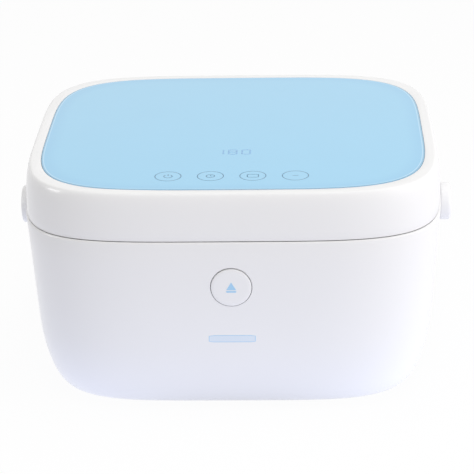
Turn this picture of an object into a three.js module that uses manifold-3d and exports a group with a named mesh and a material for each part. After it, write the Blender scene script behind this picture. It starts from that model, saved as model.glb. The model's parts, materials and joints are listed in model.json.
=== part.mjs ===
// Countertop ultraviolet sterilizer box: a moulded tub with a reflective chamber, a lid hinged at
// the back, a push-button latch at the front and a carrying bail folded down behind the body.
// Millimetres, +Z up, +X to the right seen from the front, the front faces -Y.
// The origin is on the table, under the middle of the bounding box.
import * as THREE from 'three';
import { mergeVertices } from 'three/addons/utils/BufferGeometryUtils.js';
import Module from 'manifold-3d';

const wasm = await Module();
wasm.setup();

// Heights in these tables are above the underside of the case, and places are from its middle.
const fit = 0.3; // gap between two pieces that seat on each other
const overrun = 5; // how far a cutting body runs past what it cuts
const weld = 0.0001; // vertices closer than this are one

const shell = {
  halfWidth: 165,
  halfDepth: 150,
  seamHeight: 145,
  planExponent: 4.6,
  planSteps: 48,
  innerSteps: 32,
  sideDraftShare: 0.066,
  frontDraftShare: 0.058,
  bottomRoundHeight: 58,
  bottomRoundInset: 16,
  roundSteps: 5,
  hollowSteps: 3,
  roundPower: 1.5,
  wallSteps: 1,
  wall: 2.8,
  rimWall: 1.6,
  edgeBreak: 0.8,
  seamGap: 0.8,
  bottomRim: 6,
  bottomRimWidth: 17,
};

const lid = {
  height: 37.5,
  runIn: 6,
  sideExponent: 2.3,
  sideSteps: 6,
  wall: 2.6,
  roof: 2.5,
  windowMargin: 0.5,
  bossRadius: 3.8,
  bossInset: 88,
  postRadius: 3,
  postInset: 15,
};

const panel = {
  border: 13,
  planExponent: 4.4,
  thickness: 3,
  edgeBreak: 0.6,
  proud: 0.2,
};

// Insets are measured back from the front of the body.
const touch = {
  thickness: 1.6,
  keyPitch: 32.6,
  keyCount: 4,
  keyRadius: 7.5,
  keyHeight: 1.2,
  keyInset: 42,
  sideMargin: 22.1,
  frontMargin: 24,
};
const display = { width: 34, depth: 16, height: 1.8, inset: 95.5 };

const base = {
  rebate: 3,
  margin: 9,
  postRadius: 3.5,
  slotLength: 46,
  slotWidth: 3,
  slotPitch: 9,
  slotCount: 6,
  slotSpread: 46,
};

const foot = {
  radius: 9,
  stand: 3,
  socket: 1.5,
  insetX: 43.43,
  insetY: 41.59,
  dish: 1,
  rim: 3.6,
  sides: 14,
};
const screw = { headRadius: 3, headHeight: 1.6, shankRadius: 1.4, shankLength: 7, sides: 8 };
const baseScrew = { sideInset: 79.43, edge: 4.8 };

const deck = { thickness: 3, drop: 1.5, slotSide: 2, slotAhead: 4.1, slotBehind: 3.9 };

const liner = {
  sideMargin: 21,
  endMargin: 36,
  setBack: 4,
  floor: 22,
  sheet: 1,
  draftShare: 0.05,
  roundHeight: 14,
  roundInset: 12,
  roundSteps: 3,
  flangeWidth: 7,
  slotWidth: 186,
  slotDepth: 30,
};

const lamp = {
  glassLap: 7,
  glassHeight: 2.5,
  boardWidth: 190,
  boardDepth: 26,
  boardHeight: 1.6,
  ledSize: 6,
  ledHeight: 2,
  ledCount: 6,
  ledPitch: 30,
  seatInset: 11,
};

const rack = {
  gap: 4,
  stand: 14,
  frameRadius: 1.6,
  wireRadius: 1.1,
  pitch: 27,
  stretcherInset: 62,
  legInset: 52,
  wireSides: 5,
  frameSteps: 36,
};

const controlBoard = { width: 116, depth: 64, row: 52, stand: 5, postInsetX: 8, postInsetY: 6 };
const boardPart = { bigWidth: 24, bigDepth: 18, bigHeight: 8, chip: 12, chipHeight: 1.6, canRadius: 5 };

const socket = {
  sides: 16,
  side: 62,
  height: 40,
  flangeRadius: 6.4,
  flange: 1.2,
  pocket: 0.6,
  barrelRadius: 4.8,
  holeRadius: 3.2,
  holeDepth: 9,
  pinRadius: 1,
  body: 12,
  bodyDepth: 11,
};
const lead = { radius: 1.3, sides: 6, steps: 20, sag: 10, straight: 3.3 };

// Drops are measured down from the seam, where the lid and the case meet.
const button = {
  sides: 28,
  drop: 38.5,
  holeRadius: 16,
  gap: 0.6,
  face: 3,
  proud: 0.4,
  skirt: 2,
  guideWall: 2.2,
  guideDepth: 11,
  flangeLip: 1.6,
  flange: 1.5,
  stemRadius: 3,
  tipRadius: 1.2,
  tipLength: 2.5,
};

const bracket = {
  depth: 16.7,
  thickness: 2,
  halfWidth: 32,
  below: 14.5,
  cheekGap: 10,
  cheek: 2.4,
  cheekPast: 5,
  postSpread: 26.5,
  postRadius: 4,
  sides: 12,
};

const latch = {
  pivotDepth: 23.5,
  pivotDrop: 24,
  pinRadius: 1.5,
  pinOverhang: 0.6,
  hubRadius: 4,
  halfWidth: 5,
  arm: 2.5,
  toe: 5,
  armRise: 10,
  clearance: 0.15,
};

const catchLeaf = { halfWidth: 4, sheet: 0.8, rootDrop: 17.7, noseDrop: 11.4, topDrop: 7, reach: 5.2 };
const striker = {
  sheet: 1.5,
  behindPivot: 3.1,
  halfWidth: 7.5,
  endDrop: 16,
  eyeHalfWidth: 4.8,
  eyeLowDrop: 12.4,
  eyeTopDrop: 5.5,
  foot: 9,
};

const hinge = {
  standOff: 6.5,
  barrelRadius: 5,
  lidBarrel: 20,
  caseBarrelStart: 32,
  caseBarrel: 20,
  web: 4,
  plateThickness: 3,
  plateDrop: 33,
  pinRadius: 2,
  pinHead: 3.2,
  pinHeadHeight: 1.5,
  screwSpread: 26,
  screwDrop: 24,
};

const lidSpring = { radius: 3.5, wire: 0.65, turns: 4, leg: 6 };
const latchSpring = { radius: 3, wire: 0.4, turns: 3, leg: 8 };
const buttonSpring = { radius: 5.6, wire: 0.55, turns: 5 };
const springShape = { sides: 5, stepsPerTurn: 8, legSteps: 2 };

const frameRing = { thickness: 2.5, lap: 7.7, lift: 2.3 };
const reflector = { headroom: 20.5, taper: 3, crownInset: 15, flangeWidth: 6, crownShare: 0.6 };
const gasket = { width: 6, lip: 1 };
const magnet = { radius: 4, height: 3, side: 70, inset: 21 };
const reed = { width: 16, depth: 7, height: 4 };

const bail = {
  hubDrop: 26,
  hubRadius: 15.5,
  hubGap: 2.2,
  hubThickness: 9.3,
  hubRound: 2.6,
  bossRadius: 10,
  backGap: 5.1,
  strap: 6,
  strapWidth: 16,
  strapInset: 5.2,
  strapRound: 2,
  corner: 36,
  restDegrees: -20,
  cornerSteps: 7,
  roundSteps: 2,
  capRadius: 12.4,
  capHeight: 1.2,
  capEdge: 0.4,
  screwHeadRadius: 6.5,
  screwHeadDepth: 1.6,
  boreRadius: 4.2,
  lobes: 22,
  boreSides: 16,
};
const pivotNut = { radius: 7.5, thickness: 4, sides: 6 };

// Colours from the object: white glossy housing, pale blue glossy top, steel and boards inside.
function finish(color, roughness, metalness) {
  return new THREE.MeshStandardMaterial({ color, roughness, metalness });
}
const look = {
  white: finish(0xf2f3f4, 0.25, 0),
  blue: finish(0xaadcf5, 0.12, 0),
  grey: finish(0xb9bfc4, 0.6, 0),
  silicone: finish(0xd7dadd, 0.7, 0),
  rubber: finish(0x55595d, 0.85, 0),
  steel: finish(0xc9ccd0, 0.28, 1),
  mirror: finish(0xdfe3e6, 0.12, 1),
  spring: finish(0xa9adb2, 0.35, 1),
  glass: finish(0xe6f1f6, 0.05, 0),
  board: finish(0x2f7a4d, 0.5, 0),
  lampBoard: finish(0xf4f5f2, 0.5, 0),
  dark: finish(0x2a2c2f, 0.5, 0),
};

// Turns a closed geometry into a solid that can be joined and cut.
function solidOf(geometry) {
  const bare = geometry.clone();
  bare.deleteAttribute('normal');
  bare.deleteAttribute('uv');
  const merged = mergeVertices(bare, weld);
  const index = Array.from(merged.index.array);
  const kept = [];
  for (let i = 0; i < index.length; i += 3) {
    const [a, b, c] = index.slice(i, i + 3);
    if (a !== b && b !== c && c !== a) kept.push(a, b, c);
  }
  return new wasm.Manifold(new wasm.Mesh({
    numProp: 3,
    vertProperties: new Float32Array(merged.attributes.position.array),
    triVerts: new Uint32Array(kept),
  }));
}

function geometryOf(solid) {
  const mesh = solid.getMesh();
  const geometry = new THREE.BufferGeometry();
  const places = new Float32Array(mesh.numVert * 3);
  for (let i = 0; i < mesh.numVert; i += 1) {
    places.set(mesh.vertProperties.slice(i * mesh.numProp, i * mesh.numProp + 3), i * 3);
  }
  geometry.setAttribute('position', new THREE.BufferAttribute(places, 3));
  geometry.setIndex(new THREE.BufferAttribute(new Uint32Array(mesh.triVerts), 1));
  geometry.computeVertexNormals();
  return geometry;
}

function joined(first, ...others) {
  return others.reduce((sum, other) => sum.add(other), first);
}

function cut(first, ...others) {
  return others.reduce((rest, other) => rest.subtract(other), first);
}

function piece(name, solid, material) {
  const mesh = new THREE.Mesh(geometryOf(solid), material);
  mesh.name = name;
  return mesh;
}

// One closed ring of points on a rounded-rectangle plan.
function planRing(level, exponent, steps) {
  const points = [];
  for (let i = 0; i < steps; i += 1) {
    const turn = (i / steps) * Math.PI * 2;
    const across = Math.cos(turn);
    const along = Math.sin(turn);
    points.push([
      level.halfX * Math.sign(across) * Math.abs(across) ** (2 / exponent),
      (level.middleY ?? 0) + level.halfY * Math.sign(along) * Math.abs(along) ** (2 / exponent),
      level.z,
    ]);
  }
  return points;
}

// A solid lofted through rings, from the lowest level to the highest, with flat ends.
function loft(levels, exponent = shell.planExponent, steps = shell.planSteps) {
  const rings = levels.map((level) => planRing(level, exponent, steps));
  const low = levels[0];
  const high = levels[levels.length - 1];
  const points = rings.flat();
  points.push([0, low.middleY ?? 0, low.z], [0, high.middleY ?? 0, high.z]);
  const index = [];
  for (let j = 0; j < steps; j += 1) {
    const next = (j + 1) % steps;
    for (let i = 0; i + 1 < rings.length; i += 1) {
      const here = i * steps;
      const above = here + steps;
      index.push(here + j, here + next, above + next, here + j, above + next, above + j);
    }
    const top = (rings.length - 1) * steps;
    index.push(points.length - 2, next, j, points.length - 1, top + j, top + next);
  }
  const geometry = new THREE.BufferGeometry();
  geometry.setAttribute('position', new THREE.BufferAttribute(new Float32Array(points.flat()), 3));
  geometry.setIndex(index);
  return solidOf(geometry);
}

// A straight-sided plate or hole with the rounded-rectangle plan.
function planPrism(halfX, halfY, low, high, middleY = 0, steps = shell.innerSteps) {
  const levels = [{ halfX, halfY, z: low, middleY }, { halfX, halfY, z: high, middleY }];
  return loft(levels, shell.planExponent, steps);
}

// A box given by its low and high corner.
function block(lowX, highX, lowY, highY, lowZ, highZ) {
  const geometry = new THREE.BoxGeometry(highX - lowX, highY - lowY, highZ - lowZ);
  geometry.translate((lowX + highX) / 2, (lowY + highY) / 2, (lowZ + highZ) / 2);
  return solidOf(geometry);
}

// Round bars along each axis, given by both ends.
function barX(radius, from, to, y, z, sides = 20) {
  const geometry = new THREE.CylinderGeometry(radius, radius, to - from, sides);
  geometry.rotateZ(Math.PI / 2);
  geometry.translate((from + to) / 2, y, z);
  return solidOf(geometry);
}

function barY(radius, from, to, x, z, sides = 20) {
  const geometry = new THREE.CylinderGeometry(radius, radius, to - from, sides);
  geometry.translate(x, (from + to) / 2, z);
  return solidOf(geometry);
}

function barZ(radius, from, to, x, y, sides = 20) {
  const geometry = new THREE.CylinderGeometry(radius, radius, to - from, sides);
  geometry.rotateX(Math.PI / 2);
  geometry.translate(x, y, (from + to) / 2);
  return solidOf(geometry);
}

// A flat outline in the Y-Z plane, pushed out along X on both sides of the middle.
function profileX(outline, halfWidth) {
  const shape = new THREE.Shape(outline.map(([y, z]) => new THREE.Vector2(y, z)));
  const geometry = new THREE.ExtrudeGeometry(shape, { depth: halfWidth * 2, bevelEnabled: false });
  geometry.applyMatrix4(new THREE.Matrix4().set(0, 0, 1, -halfWidth, 1, 0, 0, 0, 0, 1, 0, 0, 0, 0, 0, 1));
  return solidOf(geometry);
}

// A wire or tube of few sides along a curve.
function tube(curve, radius, sides, steps) {
  const section = [];
  for (let i = 0; i < sides; i += 1) {
    const turn = (i / sides) * Math.PI * 2;
    section.push(new THREE.Vector2(radius * Math.cos(turn), radius * Math.sin(turn)));
  }
  const shape = new THREE.Shape(section);
  return solidOf(new THREE.ExtrudeGeometry(shape, { extrudePath: curve, steps, bevelEnabled: false }));
}

// A coil about the local Z axis with an optional straight leg leaving each end as a tangent.
class Coil extends THREE.Curve {
  constructor(radius, length, turns, leg = 0) {
    super();
    Object.assign(this, { radius, length, turns, leg });
    this.wound = Math.hypot(Math.PI * 2 * radius * turns, length);
    this.whole = this.wound + leg * 2;
  }

  getPoint(share, target = new THREE.Vector3()) {
    const run = share * this.whole - this.leg;
    const held = Math.min(Math.max(run, 0), this.wound);
    const turn = (held / this.wound) * this.turns * Math.PI * 2;
    const beyond = run - held;
    const rise = this.length / this.wound;
    const flat = Math.sqrt(1 - rise * rise);
    return target.set(
      this.radius * Math.cos(turn) - beyond * flat * Math.sin(turn),
      this.radius * Math.sin(turn) + beyond * flat * Math.cos(turn),
      (held + beyond) * rise,
    );
  }
}

function coil(radius, wire, length, turns, leg = 0) {
  const steps = turns * springShape.stepsPerTurn + (leg ? springShape.legSteps * 2 : 0);
  return tube(new Coil(radius, length, turns, leg), wire, springShape.sides, steps);
}

// How far the case stands in from its size at the seam, at a height above its underside.
function caseInset(height, draftShare) {
  const below = Math.max(0, 1 - height / shell.bottomRoundHeight);
  const round = shell.bottomRoundInset * (1 - Math.sqrt(1 - below * below));
  return draftShare * (shell.seamHeight - height) + round;
}

function caseLevel(height, offset) {
  return {
    halfX: shell.halfWidth - caseInset(height, shell.sideDraftShare) - offset,
    halfY: shell.halfDepth - caseInset(height, shell.frontDraftShare) - offset,
    z: height,
  };
}

// How far back a rounded plan reaches at a place across it.
function planReach(level, x, exponent = shell.planExponent) {
  return level.halfY * (1 - Math.abs(x / level.halfX) ** exponent) ** (1 / exponent);
}

// Heights of the rings that draw the case's wall between two heights.
function wallHeights(low, high, steps = shell.roundSteps) {
  const heights = [low];
  for (let i = 1; i <= steps; i += 1) {
    heights.push(shell.bottomRoundHeight * (i / steps) ** shell.roundPower);
  }
  const rise = shell.seamHeight - shell.bottomRoundHeight;
  for (let i = 1; i <= shell.wallSteps; i += 1) {
    heights.push(shell.bottomRoundHeight + (rise * i) / (shell.wallSteps + 1));
  }
  return heights.filter(
    (height, i) => i === 0 || (height > low + shell.edgeBreak && height < high - shell.edgeBreak));
}

// The case's outer form, drawn in by an offset, between two heights.
function caseForm(offset, low, high, edgeBreak = 0) {
  const levels = wallHeights(low, high).map((height) => caseLevel(height, offset));
  if (edgeBreak) levels.push(caseLevel(high - edgeBreak, offset));
  levels.push(caseLevel(high, offset + edgeBreak));
  return loft(levels);
}

// Places that several pieces share, measured from the middle of the case.
const panelWide = shell.halfWidth - panel.border;
const panelDeep = shell.halfDepth - panel.border;
const linerWide = shell.halfWidth - liner.sideMargin;
const linerDeep = shell.halfDepth - liner.endMargin;
const openWide = linerWide - frameRing.lap;
const openDeep = linerDeep - frameRing.lap;
const guideRear = shell.halfDepth - button.guideDepth;
const bracketFront = shell.halfDepth - bracket.depth;
const pivotY = shell.halfDepth - latch.pivotDepth;
const strikerFront = pivotY - striker.behindPivot;
const magnetRow = shell.halfDepth - magnet.inset;
const hubBack = shell.halfWidth + bail.hubGap;
const hubFace = hubBack + bail.hubThickness;
const strapCentre = hubFace - bail.strapInset;

// The window in the lid's roof takes the touch keys at its front and the display at its back.
const windowHalf = ((touch.keyCount - 1) * touch.keyPitch) / 2 + touch.sideMargin;
const windowFront = touch.keyInset - touch.frontMargin - shell.halfDepth;
const windowRear = display.inset + display.depth / 2 + lid.windowMargin - shell.halfDepth;

// The bail at rest clears the back wall by its gap, measured at the lower edge of its crossbar.
const restTurn = THREE.MathUtils.degToRad(bail.restDegrees);
const crossbarOut = shell.halfDepth + bail.backGap - (bail.strapWidth / 2) * Math.sin(restTurn);
const bailReach = crossbarOut / Math.cos(restTurn) + bail.strap / 2;

// Posts of the main board.
const boardPostX = controlBoard.width / 2 - controlBoard.postInsetX;
const boardPostY = controlBoard.depth / 2 - controlBoard.postInsetY;

// Heights that several pieces share.
const buttonHeight = shell.seamHeight - button.drop;
const hubHeight = shell.seamHeight - bail.hubDrop;
const pivotZ = shell.seamHeight - latch.pivotDrop;
const armTop = pivotZ + latch.armRise;
const caseTop = shell.seamHeight - shell.seamGap / 2;
const lidLow = shell.seamHeight + shell.seamGap / 2;
const lidTop = shell.seamHeight + lid.height;
const deckTop = caseTop - deck.drop + fit;
const deckLow = deckTop - deck.thickness;
const ledge = deckLow - fit;
const flangeLow = deckTop + fit;
const flangeTop = flangeLow + liner.sheet;
const recessFloor = lidTop - panel.thickness - fit;
const roofLow = recessFloor - lid.roof;
const ringLow = lidLow + frameRing.lift;
const ringTop = ringLow + frameRing.thickness;
const reflectorLow = ringTop + fit;
const reflectorRise = lid.height - reflector.headroom;
const reflectorTop = reflectorLow + reflectorRise;
const hingeY = shell.halfDepth + hinge.standOff;
const hingeZ = shell.seamHeight;

const body = new THREE.Group();
const lidGroup = new THREE.Group();
const bailGroup = new THREE.Group();

// The moulded case: a tub with an inturned bottom rim, a ledge for the deck, the button's guide,
// the latch bracket's posts and the bosses that the bail turns on.
function outerCase() {
  const outer = caseForm(0, 0, caseTop, shell.edgeBreak);
  const under = caseLevel(0, 0);
  const ring = (inset, z) => ({ halfX: under.halfX - inset, halfY: under.halfY - inset, z });
  const hollow = loft([
    ring(base.margin, -overrun),
    ring(base.margin, base.rebate),
    ring(shell.bottomRimWidth, base.rebate),
    ring(shell.bottomRimWidth, shell.bottomRim),
    ...wallHeights(shell.bottomRim, ledge, shell.hollowSteps).map((z) => caseLevel(z, shell.wall)),
    caseLevel(ledge, shell.wall),
    caseLevel(ledge, shell.rimWall),
    caseLevel(shell.seamHeight + overrun, shell.rimWall),
  ]);
  let tub = cut(outer, hollow);

  const root = -caseLevel(buttonHeight, shell.wall / 2).halfY;
  tub = tub.add(barY(button.holeRadius + button.guideWall, root, -guideRear,
    0, buttonHeight, button.sides));
  for (const side of [-1, 1]) {
    const post = barY(bracket.postRadius, root, -bracketFront - fit,
      side * bracket.postSpread, buttonHeight, bracket.sides);
    const boss = barX(
      bail.bossRadius,
      Math.min(side * (hubBack - fit), side * bossRoot()),
      Math.max(side * (hubBack - fit), side * bossRoot()),
      0, hubHeight, bail.lobes);
    const tap = barY(screw.shankRadius + fit, -shell.halfDepth + shell.wall * 2, -bracketFront + overrun,
      side * bracket.postSpread, buttonHeight, screw.sides);
    tub = joined(tub, post, boss).subtract(tap);
    tub = tub.subtract(barX(
      bail.boreRadius, Math.min(side * hubFace, side * bossRoot() - side * overrun * 2),
      Math.max(side * hubFace, side * bossRoot() - side * overrun * 2), 0, hubHeight, bail.boreSides));
    tub = tub.subtract(barY(screw.shankRadius + fit, shell.halfDepth - shell.wall - overrun,
      shell.halfDepth + overrun, side * hinge.screwSpread, hingeZ - hinge.screwDrop, screw.sides));
  }
  for (const [x, y] of baseScrewPlaces()) {
    tub = tub.subtract(barZ(screw.shankRadius + fit, -overrun, shell.bottomRim + overrun,
      x, y, screw.sides));
  }
  const bore = barY(button.holeRadius, -shell.halfDepth - overrun, -guideRear + overrun,
    0, buttonHeight, button.sides);
  const jack = barY(socket.barrelRadius + fit, socketSeat() - overrun, shell.halfDepth,
    socket.side, socket.height, socket.sides);
  const pocket = barY(socket.flangeRadius + fit, socketSeat(), shell.halfDepth,
    socket.side, socket.height, socket.sides);
  return cut(tub, bore, jack, pocket);
}

// The flat floor of the pocket that the inlet's flange lies in.
function socketSeat() {
  const level = caseLevel(socket.height - socket.flangeRadius, socket.pocket);
  return planReach(level, socket.side + socket.flangeRadius);
}

// The inner face of the side wall's half thickness, where the bail's boss is rooted.
function bossRoot() {
  return caseLevel(hubHeight, shell.wall / 2).halfX;
}

// Screws of the base cover: two along the front and two along the back.
function baseScrewPlaces() {
  const under = caseLevel(0, 0);
  const side = under.halfX - baseScrew.sideInset;
  const row = under.halfY - base.margin - baseScrew.edge;
  return [[-1, -1], [1, -1], [-1, 1], [1, 1]].map(([x, y]) => [x * side, y * row]);
}

function footPlaces() {
  const under = caseLevel(0, 0);
  return [[-1, -1], [1, -1], [-1, 1], [1, 1]].map(
    ([x, y]) => [x * (under.halfX - foot.insetX), y * (under.halfY - foot.insetY)]);
}

const glassTop = liner.floor - fit;
const lampTop = glassTop - lamp.glassHeight - fit;
const lampBoardTop = lampTop - lamp.ledHeight;
const lampBoardLow = lampBoardTop - lamp.boardHeight;
const coverTop = base.rebate - fit;
const controlLow = coverTop + controlBoard.stand;

// The cover of the underside, with vents, posts for both boards and sockets for the feet.
function baseCover() {
  const under = caseLevel(0, 0);
  let plate = planPrism(under.halfX - base.margin - fit, under.halfY - base.margin - fit,
    0, coverTop, 0, shell.planSteps);
  for (const side of [-1, 1]) {
    for (let i = 0; i < base.slotCount; i += 1) {
      const row = (i - (base.slotCount - 1) / 2) * base.slotPitch;
      const middle = side * base.slotSpread;
      plate = plate.subtract(block(
        middle - base.slotLength / 2, middle + base.slotLength / 2,
        row - base.slotWidth / 2, row + base.slotWidth / 2, -overrun, coverTop + overrun));
    }
    plate = plate.add(barZ(base.postRadius, coverTop - fit, lampBoardLow - fit,
      side * (lamp.boardWidth / 2 - lamp.seatInset), liner.setBack, 12));
    for (const end of [-1, 1]) {
      plate = plate.add(barZ(base.postRadius, coverTop - fit, controlLow - fit,
        side * boardPostX, controlBoard.row + end * boardPostY, 12));
    }
  }
  for (const [x, y] of footPlaces()) {
    plate = plate.subtract(barZ(foot.radius + fit, -overrun, foot.socket + fit, x, y, foot.sides));
  }
  for (const [x, y] of baseScrewPlaces()) {
    plate = cut(plate,
      barZ(screw.shankRadius + fit, -overrun, coverTop + overrun, x, y, screw.sides),
      barZ(screw.headRadius + fit, -overrun, screw.headHeight + fit, x, y, screw.sides));
  }
  return plate;
}

// A rubber foot, dished a little under its rim.
function footPad() {
  const profile = [
    [0, foot.socket],
    [0, foot.dish - foot.stand],
    [foot.radius - foot.rim, foot.dish - foot.stand],
    [foot.radius - foot.rim, -foot.stand],
    [foot.radius - foot.dish / 2, -foot.stand],
    [foot.radius, foot.dish / 2 - foot.stand],
    [foot.radius, foot.socket],
    [0, foot.socket],
  ];
  return lathe(profile, foot.sides);
}

// A solid of revolution about Z from radius and height pairs that close on the axis.
function lathe(profile, sides) {
  const geometry = new THREE.LatheGeometry(profile.map(([r, z]) => new THREE.Vector2(r, z)), sides);
  return solidOf(geometry.rotateX(Math.PI / 2));
}

// A small screw with its head's underside at z = 0 and its shank pointing up.
function screwSolid() {
  return joined(
    barZ(screw.headRadius, -screw.headHeight, 0, 0, 0, screw.sides),
    barZ(screw.shankRadius, -screw.headHeight / 2, screw.shankLength, 0, 0, screw.sides));
}

function linerLevel(height, offset) {
  const drop = flangeTop - height;
  const below = Math.max(0, 1 - (height - liner.floor) / liner.roundHeight);
  const round = liner.roundInset * (1 - Math.sqrt(1 - below * below));
  const inset = liner.draftShare * drop + round + offset;
  return { halfX: linerWide - inset, halfY: linerDeep - inset, z: height, middleY: liner.setBack };
}

// The liner's form, drawn in by an offset and lifted by a rise.
function linerForm(offset, high, rise = 0) {
  const levels = [linerLevel(liner.floor, offset)];
  for (let i = 1; i <= liner.roundSteps; i += 1) {
    const rounded = liner.roundHeight * (i / liner.roundSteps) ** shell.roundPower;
    levels.push(linerLevel(liner.floor + rounded, offset));
  }
  levels.push(linerLevel(high, offset));
  const lifted = levels.map((level) => ({ ...level, z: level.z + rise }));
  return loft(lifted, shell.planExponent, shell.innerSteps);
}

// The deck between the case's rim and the chamber, with the striker's slot at the front.
function deckRing() {
  const rim = caseLevel(deckTop, shell.rimWall + fit);
  const plate = planPrism(rim.halfX, rim.halfY, deckLow, deckTop, 0, shell.planSteps);
  const hole = linerForm(-fit, deckTop + overrun);
  const half = striker.halfWidth + deck.slotSide;
  const slot = block(-half, half, -strikerFront - deck.slotAhead, deck.slotBehind - strikerFront,
    deckLow - overrun, deckTop + overrun);
  return cut(plate, hole, slot);
}

// The reflective tub of the chamber, hung by its flange, with the lamp's window in its floor.
function chamberLiner() {
  const flange = planPrism(linerWide + liner.flangeWidth, linerDeep + liner.flangeWidth,
    flangeLow, flangeTop, liner.setBack);
  const outer = linerForm(0, flangeTop);
  const inner = linerForm(liner.sheet, flangeTop + overrun, liner.sheet);
  return cut(joined(outer, flange), inner, lampSlot(liner.floor - overrun, liner.floor + overrun));
}

function lampSlot(low, high) {
  return block(-liner.slotWidth / 2, liner.slotWidth / 2,
    liner.setBack - liner.slotDepth / 2, liner.setBack + liner.slotDepth / 2, low, high);
}

function lampGlass(low) {
  const halfX = liner.slotWidth / 2 + lamp.glassLap;
  const halfY = liner.slotDepth / 2 + lamp.glassLap;
  return block(-halfX, halfX, liner.setBack - halfY, liner.setBack + halfY, low, low + lamp.glassHeight);
}

// An ultraviolet lamp board; up is 1 where the diodes look up and -1 where they look down.
function lampBoard(face, up) {
  const back = face - up * lamp.boardHeight;
  let board = block(-lamp.boardWidth / 2, lamp.boardWidth / 2,
    liner.setBack - lamp.boardDepth / 2, liner.setBack + lamp.boardDepth / 2,
    Math.min(face, back), Math.max(face, back));
  for (let i = 0; i < lamp.ledCount; i += 1) {
    const middle = (i - (lamp.ledCount - 1) / 2) * lamp.ledPitch;
    const tip = face + up * lamp.ledHeight;
    board = board.add(block(middle - lamp.ledSize / 2, middle + lamp.ledSize / 2,
      liner.setBack - lamp.ledSize / 2, liner.setBack + lamp.ledSize / 2,
      Math.min(tip, face - up * fit), Math.max(tip, face - up * fit)));
  }
  return board;
}

// The supply and timer board under the chamber.
function mainBoard() {
  const high = controlLow + touch.thickness;
  const front = controlBoard.row - controlBoard.depth / 2;
  const left = -controlBoard.width / 2;
  return joined(
    block(left, -left, front, front + controlBoard.depth, controlLow, high),
    block(left + boardPart.chip, left + boardPart.chip + boardPart.bigWidth, front + boardPart.chip,
      front + boardPart.chip + boardPart.bigDepth, high - fit, high + boardPart.bigHeight),
    block(-boardPart.chip / 2, boardPart.chip / 2, controlBoard.row - boardPart.chip / 2,
      controlBoard.row + boardPart.chip / 2, high - fit, high + boardPart.chipHeight),
    barZ(boardPart.canRadius, high - fit, high + boardPart.bigHeight,
      -left - boardPart.bigWidth, controlBoard.row, 16));
}

// The low-voltage inlet in the back wall: flange outside, barrel with its pin, body inside.
function powerSocket() {
  const seat = socketSeat() + fit;
  const face = seat + socket.flange;
  const bodyFace = socketBodyFace();
  const half = socket.body / 2;
  const shape = joined(
    barY(socket.flangeRadius, seat, face, socket.side, socket.height, socket.sides),
    barY(socket.barrelRadius, bodyFace - fit, seat + fit, socket.side, socket.height, socket.sides),
    block(socket.side - half, socket.side + half, bodyFace - socket.bodyDepth, bodyFace,
      socket.height - half, socket.height + half));
  const hole = barY(socket.holeRadius, face - socket.holeDepth, face + overrun,
    socket.side, socket.height, socket.sides);
  const pin = barY(socket.pinRadius, face - socket.holeDepth - fit, seat, socket.side, socket.height, 8);
  return cut(shape, hole).add(pin);
}

function socketBodyFace() {
  const level = caseLevel(socket.height - socket.body / 2, shell.wall);
  return planReach(level, socket.side + socket.body / 2) - fit;
}

// The lead from the inlet down to the main board.
function powerLead() {
  const rear = socketBodyFace() - socket.bodyDepth - fit;
  const boardEdge = controlBoard.row + controlBoard.depth / 2;
  const level = controlLow + touch.thickness / 2;
  const across = boardPostX - lead.sag;
  const curve = new THREE.CatmullRomCurve3([
    new THREE.Vector3(socket.side, rear, socket.height),
    new THREE.Vector3(socket.side, rear - lead.straight, socket.height),
    new THREE.Vector3(socket.side, rear - lead.sag / 2, socket.height - lead.sag),
    new THREE.Vector3(socket.side, rear - lead.sag, level + lead.sag / 2),
    new THREE.Vector3(across, boardEdge + lead.sag, level),
    new THREE.Vector3(across, boardEdge + fit, level),
  ]);
  return tube(curve, lead.radius, lead.sides, lead.steps);
}

// A frame that the latch turns in, standing on two posts behind the front wall.
function latchBracket() {
  const rear = bracketFront - bracket.thickness;
  let frame = block(-bracket.halfWidth, bracket.halfWidth, -bracketFront, -rear,
    buttonHeight - bracket.below, armTop);
  for (const side of [-1, 1]) {
    const from = side * bracket.cheekGap;
    const to = side * (bracket.cheekGap + bracket.cheek);
    const cheek = block(Math.min(from, to), Math.max(from, to), -rear - fit, bracket.cheekPast - pivotY,
      pivotZ - latch.hubRadius * 2, armTop);
    frame = frame.add(cheek);
    frame = frame.subtract(barY(screw.shankRadius + fit, -bracketFront - overrun, -rear + overrun,
      side * bracket.postSpread, buttonHeight, screw.sides));
  }
  const stemHole = barY(button.stemRadius + fit, -bracketFront - overrun, -rear + overrun,
    0, buttonHeight, 16);
  const pinHole = barX(latch.pinRadius + latch.clearance, -bracket.halfWidth, bracket.halfWidth,
    -pivotY, pivotZ, 16);
  return cut(frame, stemHole, pinHole);
}

function latchPin() {
  const half = bracket.cheekGap + bracket.cheek + latch.pinOverhang;
  return barX(latch.pinRadius, -half, half, -pivotY, pivotZ, 16);
}

// The rocker: the button pushes its toe back, and its upper arm draws the catch forward.
function latchLever() {
  const stemTip = bracketFront - bracket.thickness - fit;
  const toeFront = stemTip - fit;
  const toeRear = toeFront - latch.arm;
  const outline = [
    [-toeFront, buttonHeight - latch.toe],
    [-toeRear, buttonHeight - latch.toe],
    [-toeRear, pivotZ],
    [-pivotY, armTop],
    [-pivotY - latch.arm, armTop],
    [-toeFront, pivotZ],
  ];
  const arm = profileX(outline, latch.halfWidth);
  const hub = barX(latch.hubRadius, -latch.halfWidth, latch.halfWidth, -pivotY, pivotZ);
  const hole = barX(latch.pinRadius + latch.clearance, -bracket.halfWidth, bracket.halfWidth,
    -pivotY, pivotZ, 16);
  return cut(joined(arm, hub), hole);
}

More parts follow.
